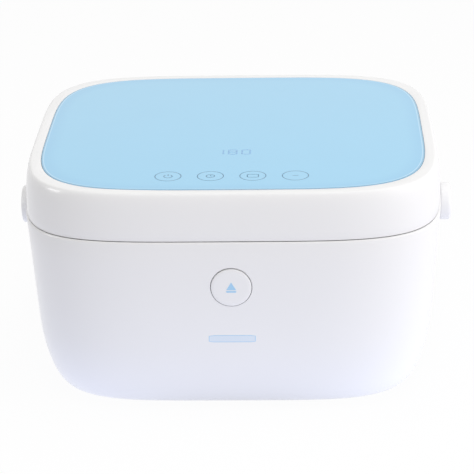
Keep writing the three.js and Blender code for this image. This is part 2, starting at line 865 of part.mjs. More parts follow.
// The sprung steel catch on the rocker: a flat leaf bent back into a sloped nose.
function catchSpring() {
  const rear = -pivotY + fit;
  const front = rear + catchLeaf.sheet;
  const tip = rear + catchLeaf.reach;
  const root = shell.seamHeight - catchLeaf.rootDrop;
  const nose = shell.seamHeight - catchLeaf.noseDrop;
  const top = shell.seamHeight - catchLeaf.topDrop;
  const outline = [
    [rear, root],
    [front, root],
    [front, nose],
    [tip, nose],
    [tip, nose + catchLeaf.sheet],
    [front, top],
    [rear, top],
  ];
  return profileX(outline, catchLeaf.halfWidth);
}

// The lid's steel striker: a foot under the ring and a blade with the eye that the nose enters.
function strikerPlate() {
  const rear = -strikerFront + striker.sheet;
  const blade = block(-striker.halfWidth, striker.halfWidth, -strikerFront, rear,
    shell.seamHeight - striker.endDrop, ringLow - fit);
  const flat = block(-striker.halfWidth, striker.halfWidth, rear - striker.foot, rear,
    ringLow - fit - striker.sheet, ringLow - fit);
  const eye = block(-striker.eyeHalfWidth, striker.eyeHalfWidth, -strikerFront - overrun, rear + overrun,
    shell.seamHeight - striker.eyeLowDrop, shell.seamHeight - striker.eyeTopDrop);
  return cut(joined(blade, flat), eye);
}

// The push button: a dished cap whose face follows the case, a skirt, a stop flange and a stem.
function openButton() {
  const radius = button.holeRadius - button.gap;
  const flangeFront = guideRear - fit;
  const flangeRear = flangeFront - button.flange;
  const faceForm = caseForm(-button.proud, 0, shell.seamHeight);
  const innerForm = caseForm(button.face - button.proud, 0, shell.seamHeight);
  const turned = (r, front, rear) => barY(r, front, rear, 0, buttonHeight, button.sides);
  const column = turned(radius, -shell.halfDepth - overrun, -flangeRear);
  const hollow = turned(radius - button.skirt, -shell.halfDepth - overrun, -flangeRear + overrun);
  const flange = cut(turned(button.holeRadius + button.flangeLip, -flangeFront, -flangeRear), hollow);
  const stemEnd = -(bracketFront - bracket.thickness - fit);
  const tip = new THREE.CylinderGeometry(button.tipRadius, button.stemRadius, button.tipLength, 16);
  tip.translate(0, stemEnd - button.tipLength / 2, buttonHeight);
  const stem = joined(
    barY(button.stemRadius, -shell.halfDepth, stemEnd - button.tipLength, 0, buttonHeight, 16),
    solidOf(tip));
  const cap = cut(column.intersect(faceForm), hollow.intersect(innerForm));
  return joined(cap, flange, stem.intersect(faceForm));
}

function openSpring() {
  const seat = -caseLevel(buttonHeight, button.face).halfY + fit * 2 + buttonSpring.wire;
  const end = -bracketFront - fit - buttonSpring.wire;
  const geometry = coil(buttonSpring.radius, buttonSpring.wire, end - seat, buttonSpring.turns);
  return geometry.rotate([-90, 0, 0]).translate([0, seat, buttonHeight]);
}

// The spring that returns the rocker, wound on the latch pin beside it.
function rockerSpring() {
  const start = latch.halfWidth + latchSpring.wire + fit * 2;
  const length = bracket.cheekGap - latch.halfWidth - (latchSpring.wire + fit * 2) * 2;
  return coil(latchSpring.radius, latchSpring.wire, length, latchSpring.turns, latchSpring.leg)
    .rotate([0, 90, 0]).rotate([-90, 0, 0]).translate([start, -pivotY, pivotZ]);
}

// The hinge's fixed half: a plate that follows the back wall and carries two barrels.
function hingeBracket() {
  const end = hinge.caseBarrelStart + hinge.caseBarrel;
  const slab = block(-end, end, shell.halfDepth - overrun * 2, shell.halfDepth + hinge.plateThickness,
    hingeZ - hinge.plateDrop, hingeZ - hinge.web / 2);
  let plate = slab;
  for (const side of [-1, 1]) {
    const from = side * hinge.caseBarrelStart;
    const to = side * end;
    plate = plate.add(barX(hinge.barrelRadius, Math.min(from, to), Math.max(from, to), hingeY, hingeZ));
    plate = plate.add(block(Math.min(from, to), Math.max(from, to), shell.halfDepth, hingeY,
      hingeZ - hinge.barrelRadius, hingeZ - hinge.web / 2));
  }
  const gapLow = hingeZ - hinge.barrelRadius - hinge.web / 2;
  const relief = block(-hinge.caseBarrelStart, hinge.caseBarrelStart, shell.halfDepth - overrun * 2,
    hingeY + overrun * 2, gapLow, hingeZ + overrun);
  plate = cut(plate, relief, caseForm(-fit, 0, shell.seamHeight + overrun), pinBore());
  for (const side of [-1, 1]) {
    const outside = shell.halfDepth + hinge.plateThickness;
    plate = cut(plate,
      barY(screw.shankRadius + fit, shell.halfDepth - overrun, outside + overrun, side * hinge.screwSpread,
        hingeZ - hinge.screwDrop, screw.sides),
      barY(screw.headRadius + fit, outside - screw.headHeight - fit, outside + overrun,
        side * hinge.screwSpread, hingeZ - hinge.screwDrop, screw.sides));
  }
  return plate;
}

function pinBore() {
  const end = hinge.caseBarrelStart + hinge.caseBarrel + overrun;
  return barX(hinge.pinRadius + latch.clearance, -end, end, hingeY, hingeZ, 16);
}

function hingePin() {
  const end = hinge.caseBarrelStart + hinge.caseBarrel + fit;
  return joined(
    barX(hinge.pinRadius, -end - hinge.pinHeadHeight, end + hinge.pinHeadHeight, hingeY, hingeZ, 16),
    barX(hinge.pinHead, -end - hinge.pinHeadHeight, -end, hingeY, hingeZ, 16));
}

// The lid springs fill the gaps between the lid's barrel and the case's barrels.
function torsionSpring() {
  const room = hinge.caseBarrelStart - hinge.lidBarrel;
  const length = room - (lidSpring.wire + fit * 2) * 2;
  return coil(lidSpring.radius, lidSpring.wire, length, lidSpring.turns, lidSpring.leg)
    .rotate([0, 90, 0]).rotate([-90, 0, 0]).translate([-length / 2, 0, 0]);
}

function lidLevel(share, offset = 0) {
  const quarter = (share * Math.PI) / 2;
  const up = Math.sin(quarter) ** (2 / lid.sideExponent);
  const out = Math.cos(quarter) ** (2 / lid.sideExponent);
  const inset = lid.runIn * (1 - out) + offset;
  return {
    halfX: shell.halfWidth - inset,
    halfY: shell.halfDepth - inset,
    z: lidLow + (lidTop - lidLow) * up,
  };
}

// The lid's moulded shell: side wall, roof under the top panel, bosses and the hinge's barrel.
function lidShell() {
  const levels = [lidLevel(0, shell.edgeBreak / 2), { ...lidLevel(0), z: lidLow + shell.edgeBreak / 2 }];
  for (let i = 1; i <= lid.sideSteps; i += 1) levels.push(lidLevel(i / lid.sideSteps));
  const outer = loft(levels);
  const recess = loft([
    { halfX: panelWide + fit, halfY: panelDeep + fit, z: recessFloor },
    { halfX: panelWide + fit, halfY: panelDeep + fit, z: lidTop + overrun },
  ], panel.planExponent);
  const wallIn = lidLevel(0, lid.wall);
  const roofIn = lidLevel(1, lid.wall);
  const cavity = loft(
    [{ ...wallIn, z: lidLow - overrun }, { ...wallIn, z: ringTop }, { ...roofIn, z: roofLow }]);
  const opening = block(-windowHalf, windowHalf, windowFront, windowRear,
    roofLow - overrun, recessFloor + overrun);
  let cover = cut(outer, recess, cavity, opening);
  for (const [x, y] of lidScrewPlaces()) {
    const boss = barZ(lid.bossRadius, ringTop + fit, roofLow + fit, x, y, 16);
    const tap = barZ(screw.shankRadius + fit, ringTop - overrun, ringTop + screw.shankLength,
      x, y, screw.sides);
    cover = cover.add(boss).subtract(tap);
  }
  for (const side of [-1, 1]) {
    cover = cover.add(barZ(lid.postRadius, lidLampBack + fit, roofLow + fit,
      side * (lamp.boardWidth / 2 - lid.postInset), liner.setBack, 12));
  }
  const barrel = barX(hinge.barrelRadius, -hinge.lidBarrel, hinge.lidBarrel, hingeY, hingeZ);
  const web = block(-hinge.lidBarrel, hinge.lidBarrel, shell.halfDepth - lid.wall, hingeY,
    lidLow, hingeZ + hinge.barrelRadius);
  return joined(cover, barrel, web).subtract(pinBore());
}

// The lid's screws stand between the gasket and the side walls.
function lidScrewPlaces() {
  const row = lidLevel(0, lid.wall).halfX - lid.bossRadius - fit * 2;
  const depth = shell.halfDepth - lid.bossInset;
  return [[-1, -1], [1, -1], [-1, 1], [1, 1]].map(([x, y]) => [x * row, y * depth]);
}

const lidGlassLow = reflectorTop + fit;
const lidLampFace = lidGlassLow + lamp.glassHeight + fit + lamp.ledHeight;
const lidLampBack = lidLampFace + lamp.boardHeight;

// The pale blue top panel with a fine bevel round its edge.
function topPanel() {
  const low = recessFloor + fit;
  const high = lidTop + panel.proud;
  return loft([
    { halfX: panelWide, halfY: panelDeep, z: low },
    { halfX: panelWide, halfY: panelDeep, z: high - panel.edgeBreak },
    { halfX: panelWide - panel.edgeBreak, halfY: panelDeep - panel.edgeBreak, z: high },
  ], panel.planExponent);
}

// The touch board with one round electrode under each key, hung in the roof's window.
function touchBoard() {
  const high = recessFloor - display.height;
  const half = windowHalf - fit;
  let board = block(-half, half, windowFront + fit, windowRear - fit, high - touch.thickness, high);
  for (let i = 0; i < touch.keyCount; i += 1) {
    const x = (i - (touch.keyCount - 1) / 2) * touch.keyPitch;
    board = board.add(barZ(touch.keyRadius, high - fit, high + touch.keyHeight,
      x, touch.keyInset - shell.halfDepth, 16));
  }
  return board;
}

function displayModule() {
  const low = recessFloor - display.height + fit;
  const row = display.inset - shell.halfDepth;
  return block(-display.width / 2, display.width / 2, row - display.depth / 2, row + display.depth / 2,
    low, recessFloor);
}

// The ring that closes the lid from below and carries reflector, gasket, striker and magnet.
function lidRing() {
  const edge = lidLevel(0, lid.wall + fit);
  const plate = planPrism(edge.halfX, edge.halfY, ringLow, ringTop, 0, shell.planSteps);
  const hole = planPrism(openWide, openDeep, ringLow - overrun, ringTop + overrun, liner.setBack);
  let ring = cut(plate, hole);
  for (const [x, y] of lidScrewPlaces()) {
    ring = cut(ring,
      barZ(screw.shankRadius + fit, ringLow - overrun, ringTop + overrun, x, y, screw.sides));
  }
  return ring;
}

// The lid's reflective tray, open downward, with a window for the upper lamp.
function lidReflector() {
  const crownStart = reflectorLow + reflectorRise * reflector.crownShare;
  const form = (offset, low, high) => loft([
    { halfX: openWide - offset, halfY: openDeep - offset, z: low, middleY: liner.setBack },
    {
      halfX: openWide - reflector.taper - offset,
      halfY: openDeep - reflector.taper - offset,
      z: crownStart,
      middleY: liner.setBack,
    },
    {
      halfX: openWide - reflector.crownInset - offset,
      halfY: openDeep - reflector.crownInset - offset,
      z: high,
      middleY: liner.setBack,
    },
  ], shell.planExponent, shell.innerSteps);
  const flange = planPrism(openWide + reflector.flangeWidth, openDeep + reflector.flangeWidth,
    reflectorLow, reflectorLow + liner.sheet, liner.setBack);
  const outer = form(0, reflectorLow, reflectorTop);
  const inner = form(liner.sheet, reflectorLow - overrun, reflectorTop - liner.sheet);
  return cut(joined(outer, flange), inner, lampSlot(reflectorTop - overrun, reflectorTop + overrun));
}

// The silicone ring that meets the liner's flange.
function lidGasket() {
  const low = flangeTop + fit;
  const high = ringLow - fit;
  const outX = linerWide + liner.flangeWidth - gasket.lip;
  const outY = linerDeep + liner.flangeWidth - gasket.lip;
  const bead = loft([
    { halfX: outX - gasket.lip, halfY: outY - gasket.lip, z: low, middleY: liner.setBack },
    { halfX: outX, halfY: outY, z: (low + high) / 2, middleY: liner.setBack },
    { halfX: outX, halfY: outY, z: high, middleY: liner.setBack },
  ], shell.planExponent, shell.innerSteps);
  const hole = planPrism(outX - gasket.width, outY - gasket.width,
    low - overrun, high + overrun, liner.setBack);
  return cut(bead, hole);
}

// The wire rack: a bent frame, cross wires, two stretchers and four legs.
function wireRack() {
  const floorTop = liner.floor + liner.sheet + fit;
  const level = floorTop + rack.stand;
  const room = linerLevel(level, liner.sheet + rack.gap + rack.frameRadius);
  const loop = planRing({ ...room, z: level }, shell.planExponent, rack.frameSteps);
  const path = new THREE.CatmullRomCurve3(loop.map((p) => new THREE.Vector3(...p)), true);
  const section = [];
  for (let i = 0; i < rack.wireSides; i += 1) {
    const turn = (i / rack.wireSides) * Math.PI * 2;
    section.push(new THREE.Vector2(rack.frameRadius * Math.cos(turn), rack.frameRadius * Math.sin(turn)));
  }
  let grid = solidOf(ringTube(path.getSpacedPoints(rack.frameSteps).slice(0, rack.frameSteps), section));
  const count = Math.floor((room.halfX * 2) / rack.pitch);
  const spread = linerDeep - rack.stretcherInset;
  for (let i = 0; i < count; i += 1) {
    const x = (i - (count - 1) / 2) * rack.pitch;
    const reach = planReach(room, x);
    grid = grid.add(barY(rack.wireRadius, liner.setBack - reach, liner.setBack + reach,
      x, level, rack.wireSides));
  }
  for (const side of [-1, 1]) {
    const row = liner.setBack + side * spread;
    const reach = planReach({ halfX: room.halfY, halfY: room.halfX }, spread);
    grid = grid.add(barX(rack.wireRadius, -reach, reach, row, level - rack.wireRadius, rack.wireSides));
    for (const end of [-1, 1]) {
      grid = grid.add(barZ(rack.frameRadius, floorTop, level,
        end * (linerWide - rack.legInset), row, rack.wireSides));
    }
  }
  return grid;
}

// A closed tube through the points of a level loop.
function ringTube(points, section) {
  const places = [];
  const index = [];
  const count = points.length;
  points.forEach((point, i) => {
    const ahead = points[(i + 1) % count].clone().sub(points[(i + count - 1) % count]).normalize();
    const out = new THREE.Vector3(ahead.y, -ahead.x, 0);
    for (const s of section) places.push(point.x + out.x * s.x, point.y + out.y * s.x, point.z + s.y);
  });
  const around = section.length;
  for (let i = 0; i < count; i += 1) {
    for (let j = 0; j < around; j += 1) {
      const a = i * around + j;
      const b = i * around + ((j + 1) % around);
      const c = ((i + 1) % count) * around + ((j + 1) % around);
      const d = ((i + 1) % count) * around + j;
      index.push(a, d, b, b, d, c);
    }
  }
  const geometry = new THREE.BufferGeometry();
  geometry.setAttribute('position', new THREE.BufferAttribute(new Float32Array(places), 3));
  geometry.setIndex(index);
  return geometry;
}

// The carrying bail: a flat strap bent into a U between two round hubs, drawn lying straight back
// from the hubs' axis, which is the group's X axis.
function bailHandle() {
  const x = strapCentre;
  const corner = (side) => {
    const points = [];
    const middleX = side * (x - bail.corner);
    for (let i = 0; i <= bail.cornerSteps; i += 1) {
      const turn = (i / bail.cornerSteps) * (Math.PI / 2);
      points.push(new THREE.Vector3(
        middleX + side * bail.corner * Math.cos(turn),
        bailReach - bail.corner + bail.corner * Math.sin(turn),
        0));
    }
    return side > 0 ? points : points.reverse();
  };
  const stops = [new THREE.Vector3(x, 0, 0), ...corner(1), ...corner(-1), new THREE.Vector3(-x, 0, 0)];
  const half = bail.strapWidth / 2;
  const thin = bail.strap / 2;
  const r = bail.strapRound;
  const section = [
    [-thin, r - half], [r - thin, -half], [thin - r, -half], [thin, r - half],
    [thin, half - r], [thin - r, half], [r - thin, half], [-thin, half - r],
  ].map(([across, up]) => new THREE.Vector2(across, up));
  const strap = solidOf(strapAlong(stops, section));
  const hubs = [-1, 1].map((side) => hubSolid().rotate([0, side * 90, 0]));
  const bores = [-1, 1].map((side) => barX(bail.boreRadius,
    Math.min(side * (hubBack - overrun), side * (hubFace + overrun)),
    Math.max(side * (hubBack - overrun), side * (hubFace + overrun)), 0, 0, bail.boreSides));
  const wells = [-1, 1].map((side) => wellSolid().rotate([0, side * 90, 0]));
  return cut(joined(strap, ...hubs), ...bores, ...wells);
}

// A flat section carried along a level path, with both ends closed.
function strapAlong(stops, section) {
  const places = [];
  const index = [];
  const around = section.length;
  stops.forEach((point, i) => {
    const before = stops[Math.max(i - 1, 0)];
    const after = stops[Math.min(i + 1, stops.length - 1)];
    const back = point.clone().sub(before).normalize();
    const ahead = after.clone().sub(point).normalize();
    const along = back.add(ahead).normalize();
    const out = new THREE.Vector3(along.y, -along.x, 0);
    const stretch = 1 / out.dot(outOf(i, stops));
    for (const s of section) {
      places.push(point.x + out.x * s.x * stretch, point.y + out.y * s.x * stretch, point.z + s.y);
    }
  });
  for (let i = 0; i + 1 < stops.length; i += 1) {
    for (let j = 0; j < around; j += 1) {
      const a = i * around + j;
      const b = i * around + ((j + 1) % around);
      index.push(a, a + around, b, b, a + around, b + around);
    }
  }
  for (let j = 1; j + 1 < around; j += 1) {
    const last = (stops.length - 1) * around;
    index.push(0, j, j + 1, last, last + j + 1, last + j);
  }
  const geometry = new THREE.BufferGeometry();
  geometry.setAttribute('position', new THREE.BufferAttribute(new Float32Array(places), 3));
  geometry.setIndex(index);
  return geometry;
}

function outOf(i, stops) {
  const from = stops[Math.max(i - 1, 0)];
  const to = i === 0 ? stops[1] : stops[i];
  const along = to.clone().sub(from).normalize();
  return new THREE.Vector3(along.y, -along.x, 0);
}

// Turned about Z, which becomes the pivot axis: the hub with its rounded outer edge.
function hubSolid() {
  const r = bail.hubRadius;
  const e = bail.hubRound;
  const profile = [[0, hubBack], [r - e / 2, hubBack], [r, hubBack + e / 2]];
  for (let i = 0; i <= bail.roundSteps; i += 1) {
    const turn = (i / bail.roundSteps) * (Math.PI / 2);
    profile.push([r - e + e * Math.cos(turn), hubFace - e + e * Math.sin(turn)]);
  }
  profile.push([0, hubFace], [0, hubBack]);
  return lathe(profile, bail.lobes);
}

// The stepped well in the hub's face for the shoulder screw's head and the cap over it.
function wellSolid() {
  const capFloor = hubFace - bail.capHeight - fit;
  const headFloor = capFloor - bail.screwHeadDepth - fit * 2;
  const end = hubFace + overrun;
  return joined(
    barZ(bail.capRadius + fit, capFloor, end, 0, 0, bail.lobes),
    barZ(bail.screwHeadRadius + fit, headFloor, end, 0, 0, bail.lobes));
}

function pivotCap() {
  const e = bail.capEdge;
  return lathe([
    [0, hubFace - bail.capHeight], [bail.capRadius, hubFace - bail.capHeight],
    [bail.capRadius, hubFace - e], [bail.capRadius - e, hubFace], [0, hubFace],
    [0, hubFace - bail.capHeight],
  ], bail.lobes);
}

// The shoulder screw the hub turns on, held by a nut inside the case.
function pivotScrew() {
  const headTop = hubFace - bail.capHeight - fit * 2;
  const inner = caseLevel(hubHeight, shell.wall).halfX;
  return joined(
    barZ(bail.screwHeadRadius, headTop - bail.screwHeadDepth, headTop, 0, 0, bail.lobes),
    barZ(bail.boreRadius - fit, inner - pivotNut.thickness - fit * 2, headTop - fit, 0, 0, bail.boreSides));
}

function pivotNutSolid() {
  const inner = caseLevel(hubHeight + pivotNut.radius, shell.wall).halfX;
  const low = inner - fit - pivotNut.thickness - shell.sideDraftShare * pivotNut.radius * 2;
  return cut(barZ(pivotNut.radius, low, low + pivotNut.thickness, 0, 0, pivotNut.sides),
    barZ(bail.boreRadius, low - overrun, low + pivotNut.thickness + overrun, 0, 0, bail.boreSides));
}

// Assembly: every piece that stays with the case.
body.add(piece('outer_case', outerCase(), look.white));
body.add(piece('base_cover', baseCover(), look.white));
footPlaces().forEach(([x, y], i) => {
  const pad = piece(`foot_${i + 1}`, footPad(), look.rubber);
  pad.position.set(x, y, 0);
  body.add(pad);
});
baseScrewPlaces().forEach(([x, y], i) => {
  const fastener = piece(`base_screw_${i + 1}`, screwSolid(), look.steel);
  fastener.position.set(x, y, screw.headHeight);
  body.add(fastener);
});
body.add(piece('rim_frame', deckRing(), look.white));
body.add(piece('chamber_liner', chamberLiner(), look.mirror));
body.add(piece('base_window', lampGlass(glassTop - lamp.glassHeight), look.glass));
body.add(piece('base_lamp_board', lampBoard(lampBoardTop, 1), look.lampBoard));
body.add(piece('control_board', mainBoard(), look.board));
body.add(piece('power_socket', powerSocket(), look.dark));
body.add(piece('power_lead', powerLead(), look.dark));
body.add(piece('latch_bracket', latchBracket(), look.grey));
body.add(piece('latch_pin', latchPin(), look.steel));
body.add(piece('latch_spring', rockerSpring(), look.spring));
body.add(piece('button_spring', openSpring(), look.spring));
body.add(piece('hinge_bracket', hingeBracket(), look.white));
body.add(piece('hinge_pin', hingePin(), look.steel));
body.add(piece('reed_switch', block(
  magnet.side - reed.width / 2, magnet.side + reed.width / 2,
  -magnetRow - reed.depth / 2, -magnetRow + reed.depth / 2,
  deckLow - fit - reed.height, deckLow - fit), look.dark));

[['left', -1], ['right', 1]].forEach(([side, sign], i) => {
  const bracketScrew = piece(`latch_screw_${i + 1}`, screwSolid(), look.steel);
  bracketScrew.rotation.x = Math.PI / 2;
  bracketScrew.position.set(
    sign * bracket.postSpread, -bracketFront + bracket.thickness + fit, buttonHeight);
  const hingeScrew = piece(`hinge_screw_${i + 1}`, screwSolid(), look.steel);
  hingeScrew.rotation.x = Math.PI / 2;
  hingeScrew.position.set(
    sign * hinge.screwSpread,
    shell.halfDepth + hinge.plateThickness - screw.headHeight,
    hingeZ - hinge.screwDrop);
  const spring = piece(`torsion_spring_${side}`, torsionSpring(), look.spring);
  spring.position.set(sign * (hinge.lidBarrel + hinge.caseBarrelStart) / 2, hingeY, hingeZ);
  const pivot = piece(`pivot_screw_${side}`, pivotScrew(), look.steel);
  const nut = piece(`pivot_nut_${side}`, pivotNutSolid(), look.steel);
  for (const part of [pivot, nut]) {
    part.rotation.y = (sign * Math.PI) / 2;
    part.position.z = hubHeight;
  }
  body.add(bracketScrew, hingeScrew, spring, pivot, nut);
  const cap = piece(`pivot_cap_${side}`, pivotCap(), look.white);
  cap.rotation.y = (sign * Math.PI) / 2;
  bailGroup.add(cap);
});

// The moving pieces.
body.add(piece('open_button', openButton(), look.white));
body.add(piece('latch_lever', latchLever(), look.grey));
body.add(piece('catch_spring', catchSpring(), look.spring));
body.add(piece('wire_rack', wireRack(), look.steel));

lidGroup.add(piece('lid_shell', lidShell(), look.white));
lidGroup.add(piece('top_panel', topPanel(), look.blue));
lidGroup.add(piece('touch_board', touchBoard(), look.board));
lidGroup.add(piece('display_module', displayModule(), look.dark));
lidGroup.add(piece('lid_ring', lidRing(), look.white));
lidGroup.add(piece('lid_reflector', lidReflector(), look.mirror));
lidGroup.add(piece('lid_window', lampGlass(lidGlassLow), look.glass));
lidGroup.add(piece('lid_lamp_board', lampBoard(lidLampFace, -1), look.lampBoard));
lidGroup.add(piece('lid_gasket', lidGasket(), look.silicone));
lidGroup.add(piece('striker', strikerPlate(), look.steel));
lidGroup.add(piece('lid_magnet', barZ(magnet.radius, ringLow - fit - magnet.height, ringLow - fit,
  magnet.side, -magnetRow, 16), look.dark));
lidScrewPlaces().forEach(([x, y], i) => {
  const fastener = piece(`lid_screw_${i + 1}`, screwSolid(), look.steel);
  fastener.position.set(x, y, ringLow - fit);
  lidGroup.add(fastener);
});

bailGroup.add(piece('handle', bailHandle(), look.white));
bailGroup.position.z = hubHeight;
bailGroup.rotation.x = restTurn;

// The bail lies back at rest, so the whole is longer behind than in front.
const rearReach = (bailReach + bail.strap / 2) * Math.cos(restTurn)
  - (bail.strapWidth / 2) * Math.sin(restTurn);
body.add(lidGroup, bailGroup);
body.position.set(0, (shell.halfDepth - rearReach) / 2, foot.stand);

const sterilizer = new THREE.Group();
sterilizer.add(body);
export default sterilizer;
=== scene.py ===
import json
import math

import bpy
from mathutils import Matrix, Vector


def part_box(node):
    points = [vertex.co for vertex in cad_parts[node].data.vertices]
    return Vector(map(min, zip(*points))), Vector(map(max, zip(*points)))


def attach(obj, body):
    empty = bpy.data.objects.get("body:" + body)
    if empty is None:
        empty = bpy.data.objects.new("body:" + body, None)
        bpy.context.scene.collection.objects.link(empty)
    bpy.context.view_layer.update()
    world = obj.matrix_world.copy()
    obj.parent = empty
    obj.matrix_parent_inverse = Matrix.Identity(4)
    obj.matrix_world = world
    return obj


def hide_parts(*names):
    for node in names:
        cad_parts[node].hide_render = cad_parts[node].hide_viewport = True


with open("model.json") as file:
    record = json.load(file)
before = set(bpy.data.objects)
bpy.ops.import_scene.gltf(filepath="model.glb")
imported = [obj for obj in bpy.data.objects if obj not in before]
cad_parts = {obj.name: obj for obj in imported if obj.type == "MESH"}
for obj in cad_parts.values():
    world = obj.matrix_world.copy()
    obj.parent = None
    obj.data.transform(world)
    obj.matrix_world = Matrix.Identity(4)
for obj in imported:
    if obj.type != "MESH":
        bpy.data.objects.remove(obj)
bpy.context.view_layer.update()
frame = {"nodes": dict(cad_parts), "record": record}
print("frame loaded")

millimetre = 0.001
caseOrigin = Vector((0, -0.0081083, 0.003))  # middle of the case's underside in the frame
fit = 0.3  # gap between pieces that seat on each other
overrun = 5  # how far a cutter passes what it cuts
rodSides, boreSides, holeSides = 64, 32, 24  # sides of round pieces, from wide to narrow
softShare = 0.3  # how far in the one middle step of a small round lies, as a share of the round
plateEdge = 0.3  # the break of a plate's edges
mergeGap = 0.002  # points closer than this are merged
smoothDegrees, wireDegrees = 35, 60  # edges sharper than this stay sharp, on solids and on wires

view = {
    "place": (0.05284, -1.57342, 0.73182),
    "yaw": -0.0336,
    "pitch": 0.3885,
    "roll": -0.0192,
    "focalPixels": 2032.34,
    "picturePixels": 474,
    "filmWidth": 36,
    "farEnd": 20,
}


def addObject(name, data):
    thing = bpy.data.objects.new(name, data)
    bpy.context.scene.collection.objects.link(thing)
    return thing


def aimCamera():
    cameraData = bpy.data.cameras.new("studioCamera")
    camera = addObject("studioCamera", cameraData)
    yaw, pitch, roll = view["yaw"], view["pitch"], view["roll"]
    ahead = Vector((math.sin(yaw) * math.cos(pitch), math.cos(yaw) * math.cos(pitch), -math.sin(pitch)))
    level = Vector((math.cos(yaw), -math.sin(yaw), 0))
    upright = level.cross(ahead)
    right = math.cos(roll) * level + math.sin(roll) * upright
    up = math.cos(roll) * upright - math.sin(roll) * level
    turn = Matrix((right, up, -ahead)).transposed().to_4x4()
    camera.matrix_world = Matrix.Translation(view["place"]) @ turn
    cameraData.sensor_width = view["filmWidth"]
    cameraData.lens = view["filmWidth"] * view["focalPixels"] / view["picturePixels"]
    cameraData.clip_end = view["farEnd"]
    bpy.context.scene.camera = camera


studio = {
    "skyStrength": 0.48,
    "skyColor": (1, 0.985, 0.95),
    "floorColor": (0.86, 0.86, 0.88),
    # what the floor gives back to matt surfaces: under the object, beside it and far away
    "shadeBounce": (0.62, 0.63, 0.7),
    "nearBounce": (1.18, 1.25, 1.54),
    "farBounce": (0.93, 0.92, 0.96),
    "shadeReach": (0.17, 0.155),  # half width and half depth of the shaded floor
    "shadeEnds": (0.8, 1.25),  # where the shade gives way, in reaches
    "nearEnds": (1.5, 2.4),  # where the floor beside the object gives way, in reaches
    "floorSize": 8,
    "floorGlow": 0.94,  # share of plain white that the lens sees on the floor
    "lamps": {
        # name: place, aim, width, height, power, colour, seen only as a reflection
        "rightSoftbox": ((1.6, -0.72, 0.6), (0.05, 0, 0.1), 1.5, 1.5, 17.5, (1, 0.985, 0.99), False),
        "topSoftbox": ((0.1, -0.15, 1.8), (0, 0, 0.15), 1.6, 1.4, 17, (1, 1, 1), False),
        "frontFill": ((0.6, -2.2, 0.25), (0, 0, 0.08), 1.6, 0.8, 1.2, (1, 0.98, 0.99), False),
        "leftStrip": ((-1.6, -0.42, 0.76), (-0.13, -0.14, 0.18), 0.6, 0.45, 5.5, (1, 1, 0.99), True),
    },
}


# 1 for rays from the lens, off something glossy or through glass.
def seenRays(tree, path):
    mirrored = calculate(tree, "MAXIMUM", path.outputs["Is Glossy Ray"], path.outputs["Is Transmission Ray"])
    return calculate(tree, "MAXIMUM", path.outputs["Is Camera Ray"], mirrored)


def mixShaders(tree, share, first, second):
    return addNode(tree, "ShaderNodeMixShader", values={0: share, 1: first, 2: second}).outputs[0]


def lightStudio():
    world = bpy.data.worlds.new("studioWorld")
    bpy.context.scene.world = world
    world.use_nodes = True
    tree = world.node_tree
    tree.nodes.clear()
    seen = addNode(tree, "ShaderNodeBackground", values={"Color": (1, 1, 1, 1), "Strength": 1})
    lit = addNode(tree, "ShaderNodeBackground",
                  values={"Color": (*studio["skyColor"], 1), "Strength": studio["skyStrength"]})
    path = tree.nodes.new("ShaderNodeLightPath")
    shown = mixShaders(tree, seenRays(tree, path), lit.outputs[0], seen.outputs[0])
    addNode(tree, "ShaderNodeOutputWorld", values={0: shown})
    for name, (place, aim, width, height, power, color, mirrored) in studio["lamps"].items():
        data = bpy.data.lights.new(name, "AREA")
        data.shape = "RECTANGLE"
        data.size, data.size_y = width, height
        data.energy = power
        data.color = color
        lamp = addObject(name, data)
        toward = (Vector(aim) - Vector(place)).to_track_quat("-Z", "Y")
        lamp.matrix_world = Matrix.Translation(place) @ toward.to_matrix().to_4x4()
        lamp.visible_glossy, lamp.visible_diffuse = mirrored, not mirrored


# What the floor gives back changes in zones, by how far a place is from the object.
def floorBounce(tree):
    place = tree.nodes.new("ShaderNodeTexCoord").outputs["Object"]
    scaled = addNode(tree, "ShaderNodeVectorMath", {"operation": "DIVIDE"},
                     {0: place, 1: (*studio["shadeReach"], 1)})
    away = addNode(tree, "ShaderNodeVectorMath", {"operation": "LENGTH"}, {0: scaled.outputs[0]})
    given = (*studio["shadeBounce"], 1)
    for ends, outer in (("shadeEnds", "nearBounce"), ("nearEnds", "farBounce")):
        start, end = studio[ends]
        share = addNode(tree, "ShaderNodeMapRange", values={
            "Value": away.outputs["Value"], "From Min": start, "From Max": end})
        given = mixColors(tree, "MIX", share.outputs[0], given, (*studio[outer], 1))
    return given


def layFloor():
    deselectAll()
    bpy.ops.mesh.primitive_plane_add(size=studio["floorSize"], location=(0, 0, 0))
    floor = bpy.context.object
    floor.name = "floor"
    material = bpy.data.materials.new("floorWhite")
    material.use_nodes = True
    material.cycles.emission_sampling = "NONE"
    tree = material.node_tree
    tree.nodes.clear()
    matt = addNode(tree, "ShaderNodeBsdfDiffuse", values={"Color": (*studio["floorColor"], 1)})
    glow = addNode(tree, "ShaderNodeEmission")
    bounce = addNode(tree, "ShaderNodeEmission", values={"Color": floorBounce(tree)})
    path = tree.nodes.new("ShaderNodeLightPath")
    glowing = calculate(tree, "MULTIPLY", seenRays(tree, path), studio["floorGlow"])
    shown = mixShaders(tree, glowing, matt.outputs[0], glow.outputs[0])
    shown = mixShaders(tree, path.outputs["Is Diffuse Ray"], shown, bounce.outputs[0])
    # from below, the floor isn't there
    clear, side = addNode(tree, "ShaderNodeBsdfTransparent"), addNode(tree, "ShaderNodeNewGeometry")
    shown = mixShaders(tree, side.outputs["Backfacing"], shown, clear.outputs[0])
    addNode(tree, "ShaderNodeOutputMaterial", values={0: shown})
    floor.data.materials.append(material)


def deselectAll():
    if bpy.context.object and bpy.context.object.mode != "OBJECT":
        bpy.ops.object.mode_set(mode="OBJECT")
    bpy.ops.object.select_all(action="DESELECT")


